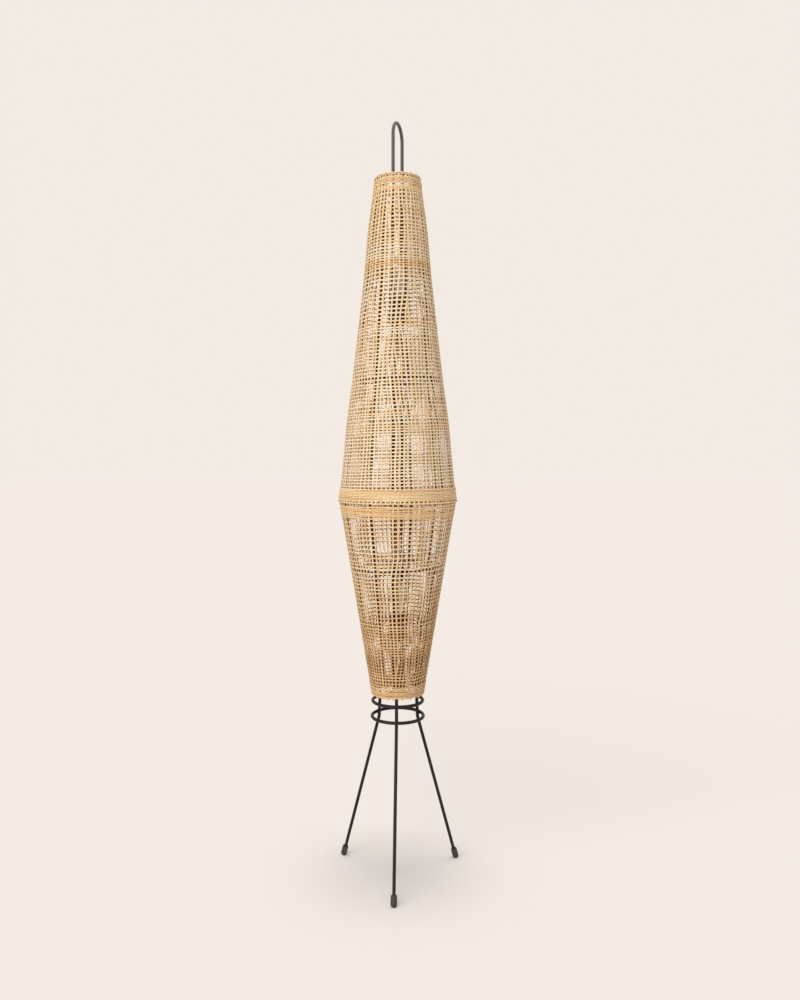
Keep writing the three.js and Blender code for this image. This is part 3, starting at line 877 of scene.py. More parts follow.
# %% Rows of the lower cone
foot = bottom_of("lower_weave")
lower_ends = np.linspace(0.64, 0.42, 9)
lower = Stakes(
    lower_cone, seed=12, count=73, direction=-1, ends=lower_ends, fade=0.07,
    widths=(3.0 * mm, 3.3 * mm), tones=(0.74, 0.10),
)


def lower_tone(z):
    """Straw under the seam, and tan towards the bottom rim."""
    return 0.46 + 0.48 * smooth((z - 0.53) / 0.18)


def lower_stake_shade(z):
    """How much darker the stakes are towards the bottom rim."""
    return 0.24 * smooth((0.70 - z) / 0.24)


lower_hoop_hole = 0.6702
lower_brown = [(0.6985, 8 * mm, 0.16), (0.566, 8 * mm, 0.16)]
lower_crowded = [(0.6985, 18 * mm, 0.75), (0.566, 20 * mm, 0.8), (0.475, 0.10, 0.78)]
rows = open_rows(
    foot + 29.6 * mm, 776 * mm, count=45, seed=6, crowded=lower_crowded, hole_at=lower_hoop_hole
)
lower_open = Weaver(lower, rows, (2.9 * mm, 2.8 * mm), seed=31, waviness=0.6 * mm, tilt=0.02)
lower_open.tones(lower_tone, 0.12, 1.7, lower_brown)
print("lower stakes:", lower.count, "and open rows:", lower_open.turns)

# %% Hem, edge and bottom rim of the lower cone
rows = row_heights(776.7 * mm, [(2, 5.0 * mm), (5, 3.55 * mm)])
lower_hem = Weaver(
    lower, rows, both(3.1 * mm), seed=32, proud=0.5 * mm, waviness=1.3 * mm, reach=0.6 * mm
)
lower_hem.tones(even_tone(0.72), 0.12, 0.6)
rows = row_heights(seam - 4.2 * mm, [(1, 1.0 * mm)])
lower_edge = Weaver(
    lower, rows, both(2.8 * mm), seed=33, proud=-0.3 * mm, waviness=0.2 * mm, reach=0.4 * mm
)
lower_edge.tones(even_tone(0.62), 0.05, 1.0)
rows = row_heights(foot - 1.0 * mm, [(5, 3.3 * mm), (3, 3.9 * mm)])
bottom_rows = Weaver(lower, rows, both(2.8 * mm), seed=34, proud=0.4 * mm, waviness=1.0 * mm)
bottom_rows.tones(even_tone(0.60), 0.07, 1.2)
print("lower rows:", lower_open.turns + lower_hem.turns + bottom_rows.turns)

# %% Build the lower cone
lower_stakes = build_stakes(
    "lower_stakes", lower, [bottom_rows, lower_open, lower_hem, lower_edge],
    foot - 1.2 * mm, seam - 0.8 * mm, darker=lower_stake_shade, ragged=1.1 * mm,
)
settle(lower_stakes, "lower_stakes", "stand", cane, ["lower_weave"])
lower_weavers = join([lower_open.build("lower_weavers"), lower_edge.build("lower_edge")])
settle(lower_weavers, "lower_weavers", "stand", cane, ["lower_weave"])
lower_hem_rows = lower_hem.build("lower_hem", round_crown)
settle(lower_hem_rows, "lower_hem_rows", "stand", plait, ["lower_hem_band"])
bottom_rim_rows = bottom_rows.build("bottom_rim", round_crown)
settle(bottom_rim_rows, "bottom_rim_rows", "stand", plait, ["bottom_rim_band"])
woven = [lower_stakes, lower_weavers, lower_hem_rows, bottom_rim_rows]
print("lower cone:", triangles(woven), "triangles")

# %% [markdown]
# ## Bent rod
# The legs, the hairpin and the shade's frame are steel rod, bent cold and painted. A rod starts
# as a circle across its first point. The circle is drawn out along each straight run and spun
# round each bend, as the rod itself is bent round a former. With no window, Spin turns against
# the right-hand rule, so the angle is given the other way.

# %% Bending rods
def edit_all(thing):
    """Opens a piece in edit mode with everything selected."""
    only(thing)
    bpy.ops.object.mode_set(mode="EDIT")
    bpy.ops.mesh.select_all(action="SELECT")


def draw_out(run):
    """Extrudes what is selected along a run."""
    bpy.ops.mesh.extrude_region_move(TRANSFORM_OT_translate={"value": tuple(run)})


def spin_about(centre, spin_axis, angle, steps):
    whole = math.isclose(angle, 2 * math.pi)
    bpy.ops.mesh.spin(
        steps=steps, angle=-angle, center=tuple(centre), axis=tuple(spin_axis), use_auto_merge=whole
    )


# %% Closing shells
def close_shell(thing, sharp=35, fill=True):
    """Merges doubles, closes the ends, turns the faces outwards and smooths all but sharp edges."""
    edit_all(thing)
    bpy.ops.mesh.remove_doubles(threshold=0.01 * mm)
    if fill:
        bpy.ops.mesh.fill_holes(sides=0)
    bpy.ops.mesh.normals_make_consistent(inside=False)
    only(thing)
    bpy.ops.object.shade_smooth_by_angle(angle=math.radians(sharp))
    return thing


# %% Rods and rings
def start_circle(name, centre, heading, radius, sides):
    clear_selection()
    bpy.ops.mesh.primitive_circle_add(
        vertices=sides, radius=radius, location=centre, rotation=heading.to_track_quat("Z", "Y").to_euler()
    )
    circle = apply_place(bpy.context.object)
    circle.name = name
    edit_all(circle)
    return circle


def bent_rod(name, corners, radius, bend, sides=16, steps=10):
    """A rod through the corners, bent round each inner one."""
    corners = [Vector(corner) for corner in corners]
    heading = (corners[1] - corners[0]).normalized()
    rod = start_circle(name, corners[0], heading, radius, sides)
    here = corners[0]
    for corner, beyond in zip(corners[1:], corners[2:]):
        leaving = (beyond - corner).normalized()
        angle = heading.angle(leaving)
        setback = bend * math.tan(angle / 2)
        start = corner - heading * setback
        if (start - here).length > 0.1 * mm:
            draw_out(start - here)
        turn_axis = heading.cross(leaving).normalized()
        spin_about(start + turn_axis.cross(heading) * bend, turn_axis, angle, steps)
        here = corner + leaving * setback
        heading = leaving
    draw_out(corners[-1] - here)
    close_shell(rod)
    bevel_edges(rod, 0.5 * mm, 60)
    return close_shell(rod, 50, False)


def ring_rod(name, ring_r, radius, height, sides=14, steps=108):
    """A rod bent into a level ring about the lamp's axis."""
    start = place(math.pi / 2, ring_r, height)
    ring = start_circle(name, start, Vector((0, 1, 0)), radius, sides)
    spin_about((axis.x, axis.y, height), (0, 0, 1), 2 * math.pi, steps)
    return close_shell(ring, 50, False)


# %% [markdown]
# The paint is a satin black lacquer, a little uneven from the brush. One more mix brightens the
# paint towards the top of the hairpin, a painted sheen for the bright room that its handle
# reflects. The shade's own frame is painted brown, and shows through the weave as dark columns.

# %% Lacquers
# Heights between which the painted sheen on the handle grows to its full strength.
sheen_starts = 1.30
sheen_is_full = 1.52


def lacquer_material(name, dark, light, wear_and_sheen=None):
    """Satin lacquer; with a lighter tone given, it gets a painted sheen between the two heights."""
    material, tree, shader = new_material(name, Specular_IOR_Level=0.15)
    here = object_place(tree)
    clouds = noise(tree, here, 60)
    grain = noise(tree, here, 900, 2)
    colour = mix(tree, clouds, dark, light)
    if wear_and_sheen:
        # Painted sheen: the paint is mixed towards the lighter tone up the hairpin, in patches.
        height = add_node(tree, "ShaderNodeSeparateXYZ", [(here, 0)]).outputs["Z"]
        sheen_rise = spread(tree, height, 0.0, 1.0, sheen_starts, sheen_is_full)
        patchy_sheen = sums(tree, "MULTIPLY", sheen_rise, spread(tree, noise(tree, here, 24, 4), 0.55, 1.25))
        colour = mix(tree, patchy_sheen, colour, wear_and_sheen)
    rough = spread(tree, clouds, 0.30, 0.48)
    link_finish(tree, shader, colour, rough, bump(tree, grain, 0.12, 0.0002))
    return material


black = lacquer_material("satin_black_lacquer", (0.010, 0.008, 0.008), (0.024, 0.019, 0.017))
# The handle's lacquer has a painted sheen towards its top.
handle_black_with_sheen = lacquer_material(
    "black_lacquer_painted_sheen", (0.008, 0.007, 0.006), (0.020, 0.016, 0.014), (0.125, 0.112, 0.098)
)
brown = lacquer_material("brown_lacquer", (0.030, 0.009, 0.002), (0.070, 0.022, 0.005))
print("lacquers:", [material.name for material in (black, handle_black_with_sheen, brown)])

# %% [markdown]
# ## Legs and base rings
# Each leg comes down inside the shade's bottom ring, bends just below the base rings and splays
# to its foot. One leg is bent, and copied round by thirds of a turn. The rings run round the
# outside of the legs, with a small bead of weld at each joint.

# %% Copies round the axis
def turn_about_axis(thing, azimuth):
    """Turns a piece about the lamp's axis."""
    about_axis = Matrix.Translation((axis.x, axis.y, 0)) @ Matrix.Rotation(azimuth, 4, "Z")
    thing.data.transform(about_axis @ Matrix.Translation((-axis.x, -axis.y, 0)))
    return thing


def copy_of(thing):
    """A copy with its own mesh."""
    twin = thing.copy()
    twin.data = thing.data.copy()
    bpy.context.scene.collection.objects.link(twin)
    return twin


def turned_copy(thing, azimuth):
    return turn_about_axis(copy_of(thing), azimuth)


# %% Legs
first_leg_turn = -3
leg_turns = [math.radians(first_leg_turn + 120 * k) for k in range(3)]
leg_names = ["front", "right", "left"]
leg_top = (44.6 * mm, 418 * mm)
leg_bend = (48.3 * mm, 338 * mm)
foot_r = 146 * mm
foot_height = 5.6 * mm
splay = math.atan2(foot_r - leg_bend[0], leg_bend[1] - foot_height)
leg_end = (foot_r - 0.196 * mm, foot_height - 0.67 * mm)


def leg_radius(z):
    return leg_top[0] + (leg_bend[0] - leg_top[0]) * (leg_top[1] - z) / (leg_top[1] - leg_bend[1])


first_leg = bent_rod("leg", [place(0, *leg_top), place(0, *leg_bend), place(0, *leg_end)], rod_r, 30 * mm)
for name, turn in zip(leg_names, leg_turns):
    leg = turned_copy(first_leg, turn)
    settle(leg, f"leg_rod_{name}", "stand", black, [f"leg_{name}"])
bpy.data.objects.remove(first_leg)
print("legs splay by", round(math.degrees(splay), 1), "degrees")

# %% Base rings and weld beads
ring_heights = {name: ring_height(f"base_ring_{name}") for name in ("upper", "lower")}
for name, height in ring_heights.items():
    ring = ring_rod(f"base_hoop_{name}", leg_radius(height) + 2 * rod_r + gap, rod_r, height)
    settle(ring, f"base_hoop_{name}", "stand", black, [f"base_ring_{name}"])


def weld_bead(centre, size, seed):
    """A small lump of weld, squashed to size and made uneven."""
    clear_selection()
    bpy.ops.mesh.primitive_ico_sphere_add(subdivisions=3, radius=1, location=centre)
    bead = bpy.context.object
    bead.scale = size
    apply_place(bead)
    edit_all(bead)
    bpy.ops.transform.vertex_random(offset=0.16 * mm, uniform=0.6, normal=0.4, seed=seed)
    return close_shell(bead, 80, False)


beads = []
for turn in leg_turns:
    for height in ring_heights.values():
        for side in (-1, 1):
            spot = place(0, leg_radius(height) + rod_r, height + side * 2.6 * mm)
            bead = weld_bead(spot, (2.7 * mm, 1.8 * mm, 1.3 * mm), len(beads))
            beads.append(turn_about_axis(bead, turn))
leg_welds = settle(join(beads), "leg_welds", "stand", black)
print("weld beads:", len(beads), "with", triangles([leg_welds]), "triangles")

# %% [markdown]
# ## Turned pieces
# Foot caps, lampholders and bulbs are round, so each is drawn as half its outline and spun. A
# single point, made by merging a small plane, is drawn out along the outline. Corners are
# rounded in the outline itself, which costs less than a bevel afterwards.

# %% Outlines
def rounded(profile, radius, steps=4):
    """The outline with its inner corners rounded."""
    points = [Vector(point) for point in profile]
    result = [points[0]]
    for before, corner, after in zip(points, points[1:], points[2:]):
        room = min((corner - before).length, (after - corner).length) / 2
        cut = min(radius, room)
        first = corner + (before - corner).normalized() * cut
        last = corner + (after - corner).normalized() * cut
        for k in range(steps + 1):
            t = k / steps
            result.append(first * (1 - t) ** 2 + corner * 2 * t * (1 - t) + last * t**2)
    result.append(points[-1])
    return result


def arc(centre_r, centre_z, radius, start, end, steps):
    """Outline points on an arc; angles in degrees from the outward direction."""
    angles = [math.radians(start + (end - start) * k / steps) for k in range(steps + 1)]
    return [(centre_r + radius * math.cos(a), centre_z + radius * math.sin(a)) for a in angles]


# %% Turning
def turned(name, profile, sides, sharp=35, about=(axis.x, axis.y)):
    """A turned piece from (radius, height) points, about the lamp's axis or another upright one."""
    clear_selection()
    r, z = profile[0]
    bpy.ops.mesh.primitive_plane_add(size=0.5 * mm, location=(about[0] + r, about[1], z))
    piece = apply_place(bpy.context.object)
    piece.name = name
    edit_all(piece)
    bpy.ops.mesh.merge(type="CENTER")
    for (r0, z0), (r1, z1) in zip(profile, profile[1:]):
        draw_out((r1 - r0, 0, z1 - z0))
    bpy.ops.mesh.select_all(action="SELECT")
    spin_about((*about, 0), (0, 0, 1), 2 * math.pi, sides)
    return close_shell(piece, sharp, False)


def closed(profile):
    return [*profile, profile[0]]


def shift_radii(piece, change):
    """Moves each point in or out by change(radius, azimuth, height), for threads and flutes."""
    for vertex in piece.data.vertices:
        x = vertex.co.x - axis.x
        y = vertex.co.y - axis.y
        r = math.hypot(x, y)
        if r > 0.1 * mm:
            share = 1 + change(r, math.atan2(y, x), vertex.co.z) / r
            vertex.co.x = axis.x + x * share
            vertex.co.y = axis.y + y * share
    piece.data.update()
    return piece


# %% [markdown]
# ## Foot caps
# Each foot stands in a black rubber cap with a round nose and a small lip. The cap leans with
# its leg, and its nose is cut flat where it stands on the floor.

# %% Rubber
def rubber_material():
    material, tree, shader = new_material("black_rubber")
    here = object_place(tree)
    bloom = noise(tree, here, 55, 4)
    colour = mix(tree, spread(tree, bloom, -0.3, 1.1), (0.016, 0.014, 0.015), (0.048, 0.043, 0.047))
    grain = bump(tree, noise(tree, here, 1400, 2), 0.3, 0.0002)
    link_finish(tree, shader, colour, spread(tree, bloom, 0.55, 0.8), grain)
    return material


rubber = rubber_material()
print("rubber:", len(rubber.node_tree.nodes), "nodes")

# %% Foot caps
cap_r = 6.6 * mm
cap_line = rounded(
    [
        (cap_r, 0), (cap_r, 13.7 * mm), (5.8 * mm, 14.9 * mm), (5.8 * mm, 15.6 * mm), (6.3 * mm, 15.9 * mm),
        (6.3 * mm, 16.9 * mm), (3.8 * mm, 16.9 * mm), (3.8 * mm, -1 * mm), (0, -1 * mm),
    ],
    0.5 * mm,
)
nose = arc(0, 0, cap_r, -90, 0, 12)
first_cap = turned("cap", [*nose[:-1], *cap_line], 40, 40, (0, 0))
first_cap.rotation_euler = (-splay, 0, 0)
first_cap.location = place(0, foot_r, foot_height)
apply_place(first_cap)
edit_all(first_cap)
bpy.ops.mesh.bisect(plane_co=(0, 0, 0.01 * mm), plane_no=(0, 0, 1), clear_inner=True, use_fill=True)
close_shell(first_cap, 40, False)
for name, turn in zip(leg_names, leg_turns):
    cap = turned_copy(first_cap, turn)
    settle(cap, f"rubber_foot_{name}", "stand", rubber, [f"foot_cap_{name}"])
print("foot cap:", triangles([first_cap]), "triangles")
bpy.data.objects.remove(first_cap)

# %% [markdown]
# ## The shade's frame
# Inside the weave, nine ribs run from ring to ring on each cone. One rib is modelled and copied
# round. A thin hoop inside the upper ribs shows through the weave as a dark row, and the lower
# cone has a fainter one.

# %% Ribs, rings and hoops
def frame_for(half, body, cone):
    """The nine ribs and two rings of one cone."""
    z0, r0, z1, r1 = cone
    run, rise = slope_of(cone)
    inset = frame_rod_r + gap
    ends = [place(0, r0 + run * inset, z0 + rise * inset), place(0, r1 - run * inset, z1 - rise * inset)]
    first_rib = bent_rod("rib", ends, frame_rod_r, 0, 12)
    for k in range(rib_count):
        rib = turned_copy(first_rib, rib_turn + 2 * math.pi * k / rib_count)
        settle(rib, f"{half}_rib_rod_{k + 1}", body, brown, [f"{half}_rib_{k + 1}"])
    bpy.data.objects.remove(first_rib)
    for side, r, z in (("bottom", r0, z0), ("top", r1, z1)):
        ring = ring_rod("ring", r, frame_rod_r, z, 12)
        settle(ring, f"{half}_ring_rod_{side}", body, brown, [f"{half}_frame_ring_{side}"])


def tilted_hoop(cone, z, radius, tilt):
    """A hoop inside the ribs and against them, higher on the right by its tilt."""
    inwards = (frame_rod_r + radius + 0.6 * mm) / slope_of(cone)[1]
    hoop = ring_rod("hoop", ring_line(cone, z) - inwards, radius, z, 12)
    middle = Matrix.Translation((axis.x, axis.y, z))
    hoop.data.transform(middle @ Matrix.Rotation(-tilt, 4, "Y") @ middle.inverted())
    return hoop


frame_for("lower", "stand", lower_cone)
frame_for("upper", "upper_shade", upper_cone)
hoop_z = ring_height("upper_frame_hoop")
upper_hoop = tilted_hoop(upper_cone, hoop_z, 2.4 * mm, 0.035)
settle(upper_hoop, "upper_hoop_rod", "upper_shade", brown, ["upper_frame_hoop"])
lower_hoop_z = 0.669
lower_hoop = tilted_hoop(lower_cone, lower_hoop_z, 1.8 * mm, 0.042)
settle(lower_hoop, "lower_hoop_rod", "stand", brown)
print("hoops at", round(hoop_z, 3), "and", lower_hoop_z)

# %% [markdown]
# ## Hairpin, foot bar and brackets
# One long rod goes up through the shade, bends round above it as the handle, and comes down
# again. It stands on a flat bar with an eye, and carries the lampholders on two short bars. The
# bars are flat steel: a box and a disc are joined, a hole is cut, and the edges are broken with
# a small bevel. They are made facing forwards and then turned with the hairpin.

# %% Hairpin
hairpin_turn = math.radians(-17.4)
hairpin_r = 31 * mm
hairpin_foot = bottom_of("hairpin")
crown_z = top_of("hairpin") - rod_r


def beside_axis(side, forward, z):
    """A point in the hairpin's own plan: to its side, forward of the axis, at a height."""
    s, c = math.sin(hairpin_turn), math.cos(hairpin_turn)
    return Vector((axis.x + side * c + forward * s, axis.y + side * s - forward * c, z))


hairpin = bent_rod(
    "hairpin_rod",
    [
        beside_axis(0, hairpin_r, hairpin_foot), beside_axis(0, hairpin_r, crown_z),
        beside_axis(0, -hairpin_r, crown_z), beside_axis(0, -hairpin_r, hairpin_foot),
    ],
    rod_r, hairpin_r, 20, 20,
)
settle(hairpin, "hairpin_rod", "stand", handle_black_with_sheen, ["hairpin"])
print("handle top at", round(top_of("hairpin"), 4), "m")

# %% Flat bars
def flat_bar(name, half_length, width, bottom, thick, hole_r, eye_r=0.0):
    """A flat bar across the axis with a hole at its middle, in an eye if it is a narrow one."""
    middle = (axis.x, axis.y, bottom + thick / 2)
    clear_selection()
    bpy.ops.mesh.primitive_cube_add(size=1, location=middle)
    bar = bpy.context.object
    bar.name = name
    bar.scale = (width, 2 * half_length, thick)
    apply_place(bar)
    parts = [(eye_r, thick, "UNION")] if eye_r else []
    for radius, depth, operation in [*parts, (hole_r, 3 * thick, "DIFFERENCE")]:
        clear_selection()
        bpy.ops.mesh.primitive_cylinder_add(vertices=48, radius=radius, depth=depth, location=middle)
        cutter = apply_place(bpy.context.object)
        apply_modifier(bar, "BOOLEAN", object=cutter, operation=operation, solver="EXACT")
        bpy.data.objects.remove(cutter)
    bevel_edges(bar, 0.45 * mm, 40, 3)
    turn_about_axis(bar, hairpin_turn)
    return close_shell(bar, 35, False)


bar_z = bottom_of("foot_bar")
bar_thick = 4 * mm
bar_hole_r = 5.3 * mm
foot_bar = flat_bar("foot_bar_eye", 52.59 * mm, 8.6 * mm, bar_z, bar_thick, bar_hole_r, eye_r=12 * mm)
settle(foot_bar, "foot_bar_eye", "stand", black, ["foot_bar"])
holders = {name: bottom_of(f"{name}_bracket") for name in ("lower", "upper")}
for name, height in holders.items():
    bracket = flat_bar(f"{name}_bracket_bar", 27.2 * mm, 16 * mm, height, 3 * mm, bar_hole_r)
    settle(bracket, f"{name}_bracket_bar", "stand", black, [f"{name}_bracket"])
print("foot bar:", triangles([foot_bar]), "triangles")

# %% Weld beads of the hairpin
beads = []
for height in holders.values():
    for forward in (-27.3 * mm, 27.3 * mm):
        for side in (-3.4 * mm, 3.4 * mm):
            spot = beside_axis(side, forward, height + 1.5 * mm)
            beads.append(weld_bead(spot, (1.5 * mm, 1.5 * mm, 1.7 * mm), 50 + len(beads)))
for forward in (-hairpin_r, hairpin_r):
    spot = beside_axis(0, forward, hairpin_foot + 0.3 * mm)
    beads.append(weld_bead(spot, (4.2 * mm, 4.2 * mm, 1.2 * mm), 60))
hairpin_welds = settle(join(beads), "hairpin_welds", "stand", black)
print("brackets at", {name: round(height, 3) for name, height in holders.items()})

# %% [markdown]
# ## Cord inlet and junction box
# The mains comes in from below through a moulded grip in the eye of the foot bar. The round box
# on the bar joins it to the two leads, which leave through two small collars in its lid. Both
# pieces are black phenolic moulding, glossy, with a faint mottle.

# %% Phenolic
def phenolic_material():
    material, tree, shader = new_material("black_phenolic")
    here = object_place(tree)
    mottle = noise(tree, here, 220, 4)
    colour = mix(tree, mottle, (0.008, 0.007, 0.006), (0.022, 0.017, 0.013))
    rough = spread(tree, noise(tree, here, 40), 0.16, 0.36)
    link_finish(tree, shader, colour, rough, bump(tree, mottle, 0.06, 0.0002))
    return material


phenolic = phenolic_material()
print("phenolic:", len(phenolic.node_tree.nodes), "nodes")

# %% Cord grip
grip_z = bottom_of("cord_grip")
stem_top = bar_z + bar_thick
grip_line = [
    (3.5 * mm, grip_z), (6.2 * mm, grip_z), (6.2 * mm, grip_z + 5 * mm), (9 * mm, grip_z + 15 * mm),
    (9 * mm, grip_z + 18 * mm), (5 * mm, grip_z + 18 * mm), (5 * mm, stem_top), (3.5 * mm, stem_top),
]


def grip_flutes(r, a, z):
    """Twelve shallow flutes round the outside of the grip's nose."""
    on_nose = r > 5.5 * mm and z < grip_z + 14 * mm
    return -0.35 * mm * (0.5 + 0.5 * math.cos(12 * a)) * on_nose


grip = turned("moulded_cord_grip", closed(rounded(grip_line, 0.6 * mm)), 72)
shift_radii(grip, grip_flutes)
settle(grip, "moulded_cord_grip", "stand", phenolic, ["cord_grip"])
print("cord grip from", round(grip_z, 4), "to", round(stem_top, 4))

# %% Junction box
box_z = bottom_of("junction_housing")
lid_z = top_of("junction_housing")
groove_z = lid_z - 8 * mm
box_line = [
    (0, box_z), (12 * mm, box_z), (12 * mm, groove_z), (11.4 * mm, groove_z + 0.4 * mm),
    (12 * mm, groove_z + 0.8 * mm), (12 * mm, lid_z - 3 * mm), (11.1 * mm, lid_z - 0.9 * mm),
    (9 * mm, lid_z), (0, lid_z),
]
lead_aside = 4 * mm
collar_z = lid_z + 0.2 * mm
collar_line = [(0, lid_z - mm), (3.7 * mm, lid_z - mm), (3.4 * mm, collar_z), (0, collar_z)]
collars = [turned("junction_box", rounded(box_line, 0.7 * mm), 64)]
for side in (-lead_aside, lead_aside):
    spot = beside_axis(side, 0, 0)
    collars.append(turned("collar", rounded(collar_line, 0.3 * mm), 32, 35, (spot.x, spot.y)))
settle(join(collars), "junction_box", "stand", phenolic, ["junction_housing"])
print("junction box from", round(box_z, 4), "to", round(lid_z, 4))

# %% [markdown]
# ## Lampholders
# Each lampholder stands on its bracket: a threaded brass nipple with a nut, a domed cap, a
# porcelain insert and an outer shell with a fluted grip. They are modelled once, for the lower
# bracket, and copied up to the other. Flutes and threads are made by moving points in and out.

# %% Metals and porcelain
def metal_material(name, dark, light, rough):
    """Worn metal: cloudy tarnish, and fine scratches round the piece."""
    material, tree, shader = new_material(name, Metallic=1.0)
    here = object_place(tree)
    clouds = noise(tree, here, 130, 4)
    scratches = noise(tree, stretch(tree, here, (150, 150, 3000)), 1.0, 2)
    colour = mix(tree, clouds, dark, light)
    tarnish = spread(tree, clouds, rough + 0.18, rough)
    link_finish(tree, shader, colour, tarnish, bump(tree, scratches, 0.15, 0.0001))
    return material


def porcelain_material():
    material, tree, shader = new_material("glazed_porcelain", Coat_Weight=0.6, Coat_Roughness=0.08)
    here = object_place(tree)
    cloud = noise(tree, here, 90, 3)
    colour = mix(tree, cloud, (0.74, 0.72, 0.66), (0.84, 0.82, 0.77))
    link_finish(tree, shader, colour, spread(tree, cloud, 0.25, 0.4))
    return material


brass = metal_material("aged_brass", (0.46, 0.27, 0.09), (0.72, 0.50, 0.22), 0.24)
nickel = metal_material("plated_nickel", (0.52, 0.51, 0.48), (0.72, 0.71, 0.68), 0.20)
porcelain = porcelain_material()
print("metals and porcelain:", [material.name for material in (brass, nickel, porcelain)])

# %% Nipple
thread_pitch = 1.3 * mm


def up(base, points):
    """Outline points in millimetres above a height."""
    return [(r * mm, base + z * mm) for r, z in points]


def thread(r, a, z):
    """A groove that climbs by one pitch in each turn, on the nipple's outer side only."""
    wave = 0.5 + 0.5 * math.sin(a - 2 * math.pi * z / thread_pitch)
    return -0.28 * mm * wave * (r > 4 * mm)


def nipple_at(base):
    """A threaded tube with a hexagon nut, for a bracket at this height."""
    outer = [(5.0, z) for z in np.arange(-6, 9.01, 0.22)]
    nipple = turned("nipple", up(base, closed([(3.2, -6), *outer, (3.2, 9)])), 40, 60)
    shift_radii(nipple, thread)
    nut_line = [(4.6, -3.2), (7.9, -3.2), (7.9, -0.4), (4.6, -0.4)]
    nut = turned("nut", up(base, closed(nut_line)), 6, 20)
    bevel_edges(nut, 0.3 * mm, 40)
    return join([nipple, nut])


# %% Flutes and cap
def between(z, low, high, fade):
    """1 between two heights, fading to 0 towards each of them."""
    return min(max((z - low) / fade, 0), 1) * min(max((high - z) / fade, 0), 1)


def flutes(depth, count, low, high, least):
    """Grooves up the outside between two heights, fading out at both ends."""
    def change(r, a, z):
        wave = 0.5 + 0.5 * math.cos(count * a)
        return -depth * wave * between(z, low, high, 1.5 * mm) * (r > least)
    return change


def cap_at(base):
    """The domed cap of a lampholder, with its wall fluted."""
    dome = [(r / mm, z / mm) for r, z in arc(11 * mm, 11.8 * mm, 8.5 * mm, -90, 0, 10)]
    wall = [(19.5, z) for z in (12.4, 13.0, 14.0, 16.0, 18.0, 20.0, 22.0)]
    rim = [(19.5, 23.2), (18.9, 23.7), (19.5, 24.2), (19.5, 27.3)]
    inner = [(17.9, 27.3), (17.9, 11.8), (11, 4.9), (5.3, 4.9)]
    cap = turned("cap", up(base, closed([(5.3, 3.3), *dome, *wall, *rim, *inner])), 96)
    return shift_radii(cap, flutes(0.5 * mm, 24, base + 12.4 * mm, base + 22 * mm, 18.5 * mm))


lower_z = holders["lower"]
lift = holders["upper"] - lower_z
first_nipple = nipple_at(lower_z)
first_holder_cap = cap_at(lower_z)
print("cap:", triangles([first_holder_cap]), "triangles")

# %% Insert and shell
def raised_copy(thing, height):
    twin = copy_of(thing)
    twin.data.transform(Matrix.Translation((0, 0, height)))
    return twin


def insert_at(base):
    """The porcelain insert, with a groove round its middle contact."""
    outline = [
        (0, 18.3), (17.6, 18.3), (17.6, 27.0), (12.5, 27.0), (12.0, 26.2), (6.5, 26.2), (6.0, 27.0),
        (4.5, 27.0), (4.5, 31.3), (0, 31.3),
    ]
    return turned("insert", rounded(up(base, outline), 0.5 * mm, 3), 64)


def shell_at(base):
    """The outer shell, with a fluted grip."""
    grip_rows = [(17.9, z) for z in (31.4, 33, 34.5, 36, 40, 44, 48, 52, 53.5, 55, 56.5)]
    outline = [
        (14.1, 27.6), (19.5, 27.6), (19.5, 29.2), (17.9, 30.8), *grip_rows, (17.9, 58.7), (16.3, 60.3),
        (14.1, 60.3),
    ]
    shell = turned("shell", closed(rounded(up(base, outline), 0.35 * mm, 2)), 96)
    return shift_radii(shell, flutes(0.8 * mm, 24, base + 33 * mm, base + 55 * mm, 17 * mm))


first_insert = insert_at(lower_z)
first_shell = shell_at(lower_z)
holder_parts = [
    ("nipple", first_nipple, "brass", brass),
    ("holder_cap", first_holder_cap, "black_plastic", phenolic),
    ("holder_insert", first_insert, "ceramic", porcelain),
    ("holder_shell", first_shell, "black_plastic", phenolic),
]


def settle_pairs(parts, lower_body, upper_body):
    """Copies each part of the lower lampholder up to the other, and settles both."""
    for part, piece, slot, material in parts:
        upper_piece = raised_copy(piece, lift)
        settle(upper_piece, f"upper_{part}_turned", upper_body, material, [f"upper_{part}"])
        settle(piece, f"lower_{part}_turned", lower_body, material, [f"lower_{part}"])


settle_pairs(holder_parts, "stand", "stand")
print("lampholders", round(lift, 3), "m apart")

# %% [markdown]
# ## Bulbs
# The bulbs are small globes with a screw cap. The thread is one long wave in the cap's radius
# that climbs by one pitch in each turn. The glass is frosted, so it passes some light and blurs
# what is behind it.

# %% Frosted glass
def frosted_material():
    material, tree, shader = new_material("frosted_glass", Transmission_Weight=0.35, IOR=1.46)
    here = object_place(tree)
    frost = noise(tree, here, 500, 3)
    colour = mix(tree, frost, (0.80, 0.79, 0.75), (0.90, 0.89, 0.86))
    rough = spread(tree, frost, 0.38, 0.52)
    link_finish(tree, shader, colour, rough, bump(tree, frost, 0.08, 0.0001))
    return material


frosted = frosted_material()
print("glass:", len(frosted.node_tree.nodes), "nodes")

# %% Bulbs
screw_pitch = 3.6 * mm


def bulb_cap_at(base):
    """A screw cap: its contact, its insulator and its threaded sleeve."""
    contact = [(0, 31.6), (4.6, 31.6), (4.6, 34.6), (9.5, 34.6)]
    sleeve = [(13.1, z) for z in np.arange(37.6, 60.01, 0.4)]
    rim = [(13.1, 61.2), (13.1, 62.3), (0, 62.3)]
    cap = turned("bulb_cap", up(base, [*contact, *sleeve, *rim]), 48, 50)

    def screw(r, a, z):
        inside = between((z - base) / mm, 38.2, 58.5, 2)
        wave = 0.5 + 0.5 * math.sin(a - 2 * math.pi * z / screw_pitch)
        return -1.05 * mm * wave * inside * (r > 12 * mm)

    return shift_radii(cap, screw)


